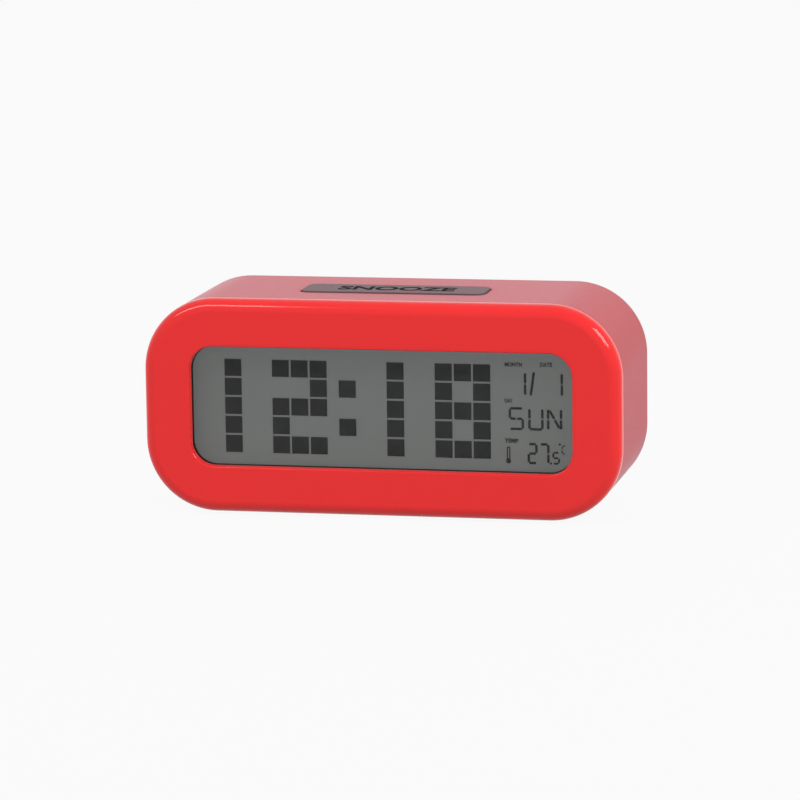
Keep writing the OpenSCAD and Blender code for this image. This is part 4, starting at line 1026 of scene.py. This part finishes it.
class CLOCK_OT_stage(bpy.types.Operator):
    """Set the floor, the softboxes, the surrounding light and the camera"""
    bl_idname = "clock.stage"
    bl_label = "Stage"

    def execute(self, context):
        scene = context.scene
        target = Vector(VIEW["target"])
        select_none()
        bpy.ops.mesh.primitive_circle_add(vertices=96, radius=FLOOR_RADIUS, fill_type="NGON", location=(0, 0, 0))
        floor = named("floor")
        # Painted studio floor: even white that keeps the clock's soft shadow
        paint = finish("Painted floor white", linear("#A6A6A6"), linear("#A2A2A2"), 40.0, (0.7, 0.8), 0.01)
        tree = paint.node_tree
        glow = add_node(tree, "ShaderNodeEmission", {"Color": (1, 1, 1, 1), "Strength": 1.0})
        seen = add_node(tree, "ShaderNodeMath", {0: shown(tree), 1: FLOOR_WHITE}, operation="MULTIPLY")
        mixed = add_node(tree, "ShaderNodeMixShader",
                         {0: seen.outputs[0], 1: tree.nodes["Principled BSDF"].outputs[0], 2: glow.outputs[0]})
        tree.links.new(mixed.outputs[0], tree.nodes["Material Output"].inputs["Surface"])
        floor.data.materials.append(paint)

        world = bpy.data.worlds.new("Studio surround")
        scene.world = world
        world.use_nodes = True
        tree = world.node_tree
        tree.nodes.clear()
        place = add_node(tree, "ShaderNodeTexCoord").outputs["Generated"]
        axes = add_node(tree, "ShaderNodeSeparateXYZ", {0: place})
        front = add_node(tree, "ShaderNodeMapRange", {"Value": axes.outputs["Y"], "From Min": -0.2, "From Max": 0.5,
                                                      "To Min": 1.0, "To Max": SURROUND["rear"]})
        walls = add_node(tree, "ShaderNodeMapRange", {"Value": axes.outputs["Z"], "From Min": 0.3, "From Max": 0.65,
                                                      "To Min": SURROUND["low"], "To Max": SURROUND["high"]})
        walls = add_node(tree, "ShaderNodeMath", {0: walls.outputs["Result"], 1: front.outputs["Result"]},
                         operation="MULTIPLY")
        level = add_node(tree, "ShaderNodeMix", {0: shown(tree), 2: walls.outputs[0], 3: 1.0})
        sky = add_node(tree, "ShaderNodeBackground", {"Color": (1, 1, 1, 1), "Strength": level.outputs[0]})
        add_node(tree, "ShaderNodeOutputWorld", {"Surface": sky.outputs[0]})

        for name, (place, aim, width, depth, power) in LAMPS.items():
            bpy.ops.object.light_add(type="AREA", location=place)
            lamp = context.object
            lamp.name = lamp.data.name = name
            lamp.rotation_euler = (Vector(place) - Vector(aim)).to_track_quat("Z", "Y").to_euler()
            lamp.data.shape = "RECTANGLE"
            lamp.data.size, lamp.data.size_y, lamp.data.energy = width, depth, power

        azimuth, elevation, roll = (math.radians(VIEW[k]) for k in ("azimuth", "elevation", "roll"))
        back = Vector((math.sin(azimuth) * math.cos(elevation), -math.cos(azimuth) * math.cos(elevation),
                       math.sin(elevation)))
        right = Vector((0, 0, 1)).cross(back).normalized()
        up = back.cross(right)
        right, up = (math.cos(roll) * right + math.sin(roll) * up, math.cos(roll) * up - math.sin(roll) * right)
        bpy.ops.object.camera_add(location=target + back * VIEW["distance"])
        camera = context.object
        camera.rotation_euler = Matrix((right, up, back)).transposed().to_euler()
        camera.data.lens = VIEW["lens"]
        camera.data.shift_x, camera.data.shift_y = VIEW["shift"]
        scene.camera = camera
        scene.view_settings.view_transform = "Standard"
        return {"FINISHED"}


class CLOCK_PT_pieces(bpy.types.Panel):
    """Lists the clock's pieces, sizes and colours"""
    bl_idname = "CLOCK_PT_pieces"
    bl_label = "Clock"
    bl_space_type = "VIEW_3D"
    bl_region_type = "UI"
    bl_category = "Clock"

    def draw(self, context):
        for piece in PIECES:
            self.layout.operator(piece.bl_idname)
        for group in (context.scene.clock_sizes, context.scene.clock_colours):
            for key in group.__annotations__:
                self.layout.prop(group, key)


PIECES = (
    CLOCK_OT_bezel, CLOCK_OT_sleeve, CLOCK_OT_feet, CLOCK_OT_display, CLOCK_OT_snooze_bar, CLOCK_OT_rear_cover,
    CLOCK_OT_rear_buttons, CLOCK_OT_alarm_knob, CLOCK_OT_battery_door, CLOCK_OT_springs, CLOCK_OT_leads,
    CLOCK_OT_cells, CLOCK_OT_carried, CLOCK_OT_stage)
CLASSES = (ClockSizes, ClockColours, *PIECES, CLOCK_PT_pieces)


def register():
    for kind in CLASSES:
        bpy.utils.register_class(kind)
    bpy.types.Scene.clock_sizes = PointerProperty(type=ClockSizes)
    bpy.types.Scene.clock_colours = PointerProperty(type=ClockColours)


def unregister():
    del bpy.types.Scene.clock_colours
    del bpy.types.Scene.clock_sizes
    for kind in reversed(CLASSES):
        bpy.utils.unregister_class(kind)


def main():
    register()
    for piece in PIECES:
        family, verb = piece.bl_idname.split(".")
        getattr(getattr(bpy.ops, family), verb)()


if __name__ == "__main__":
    main()
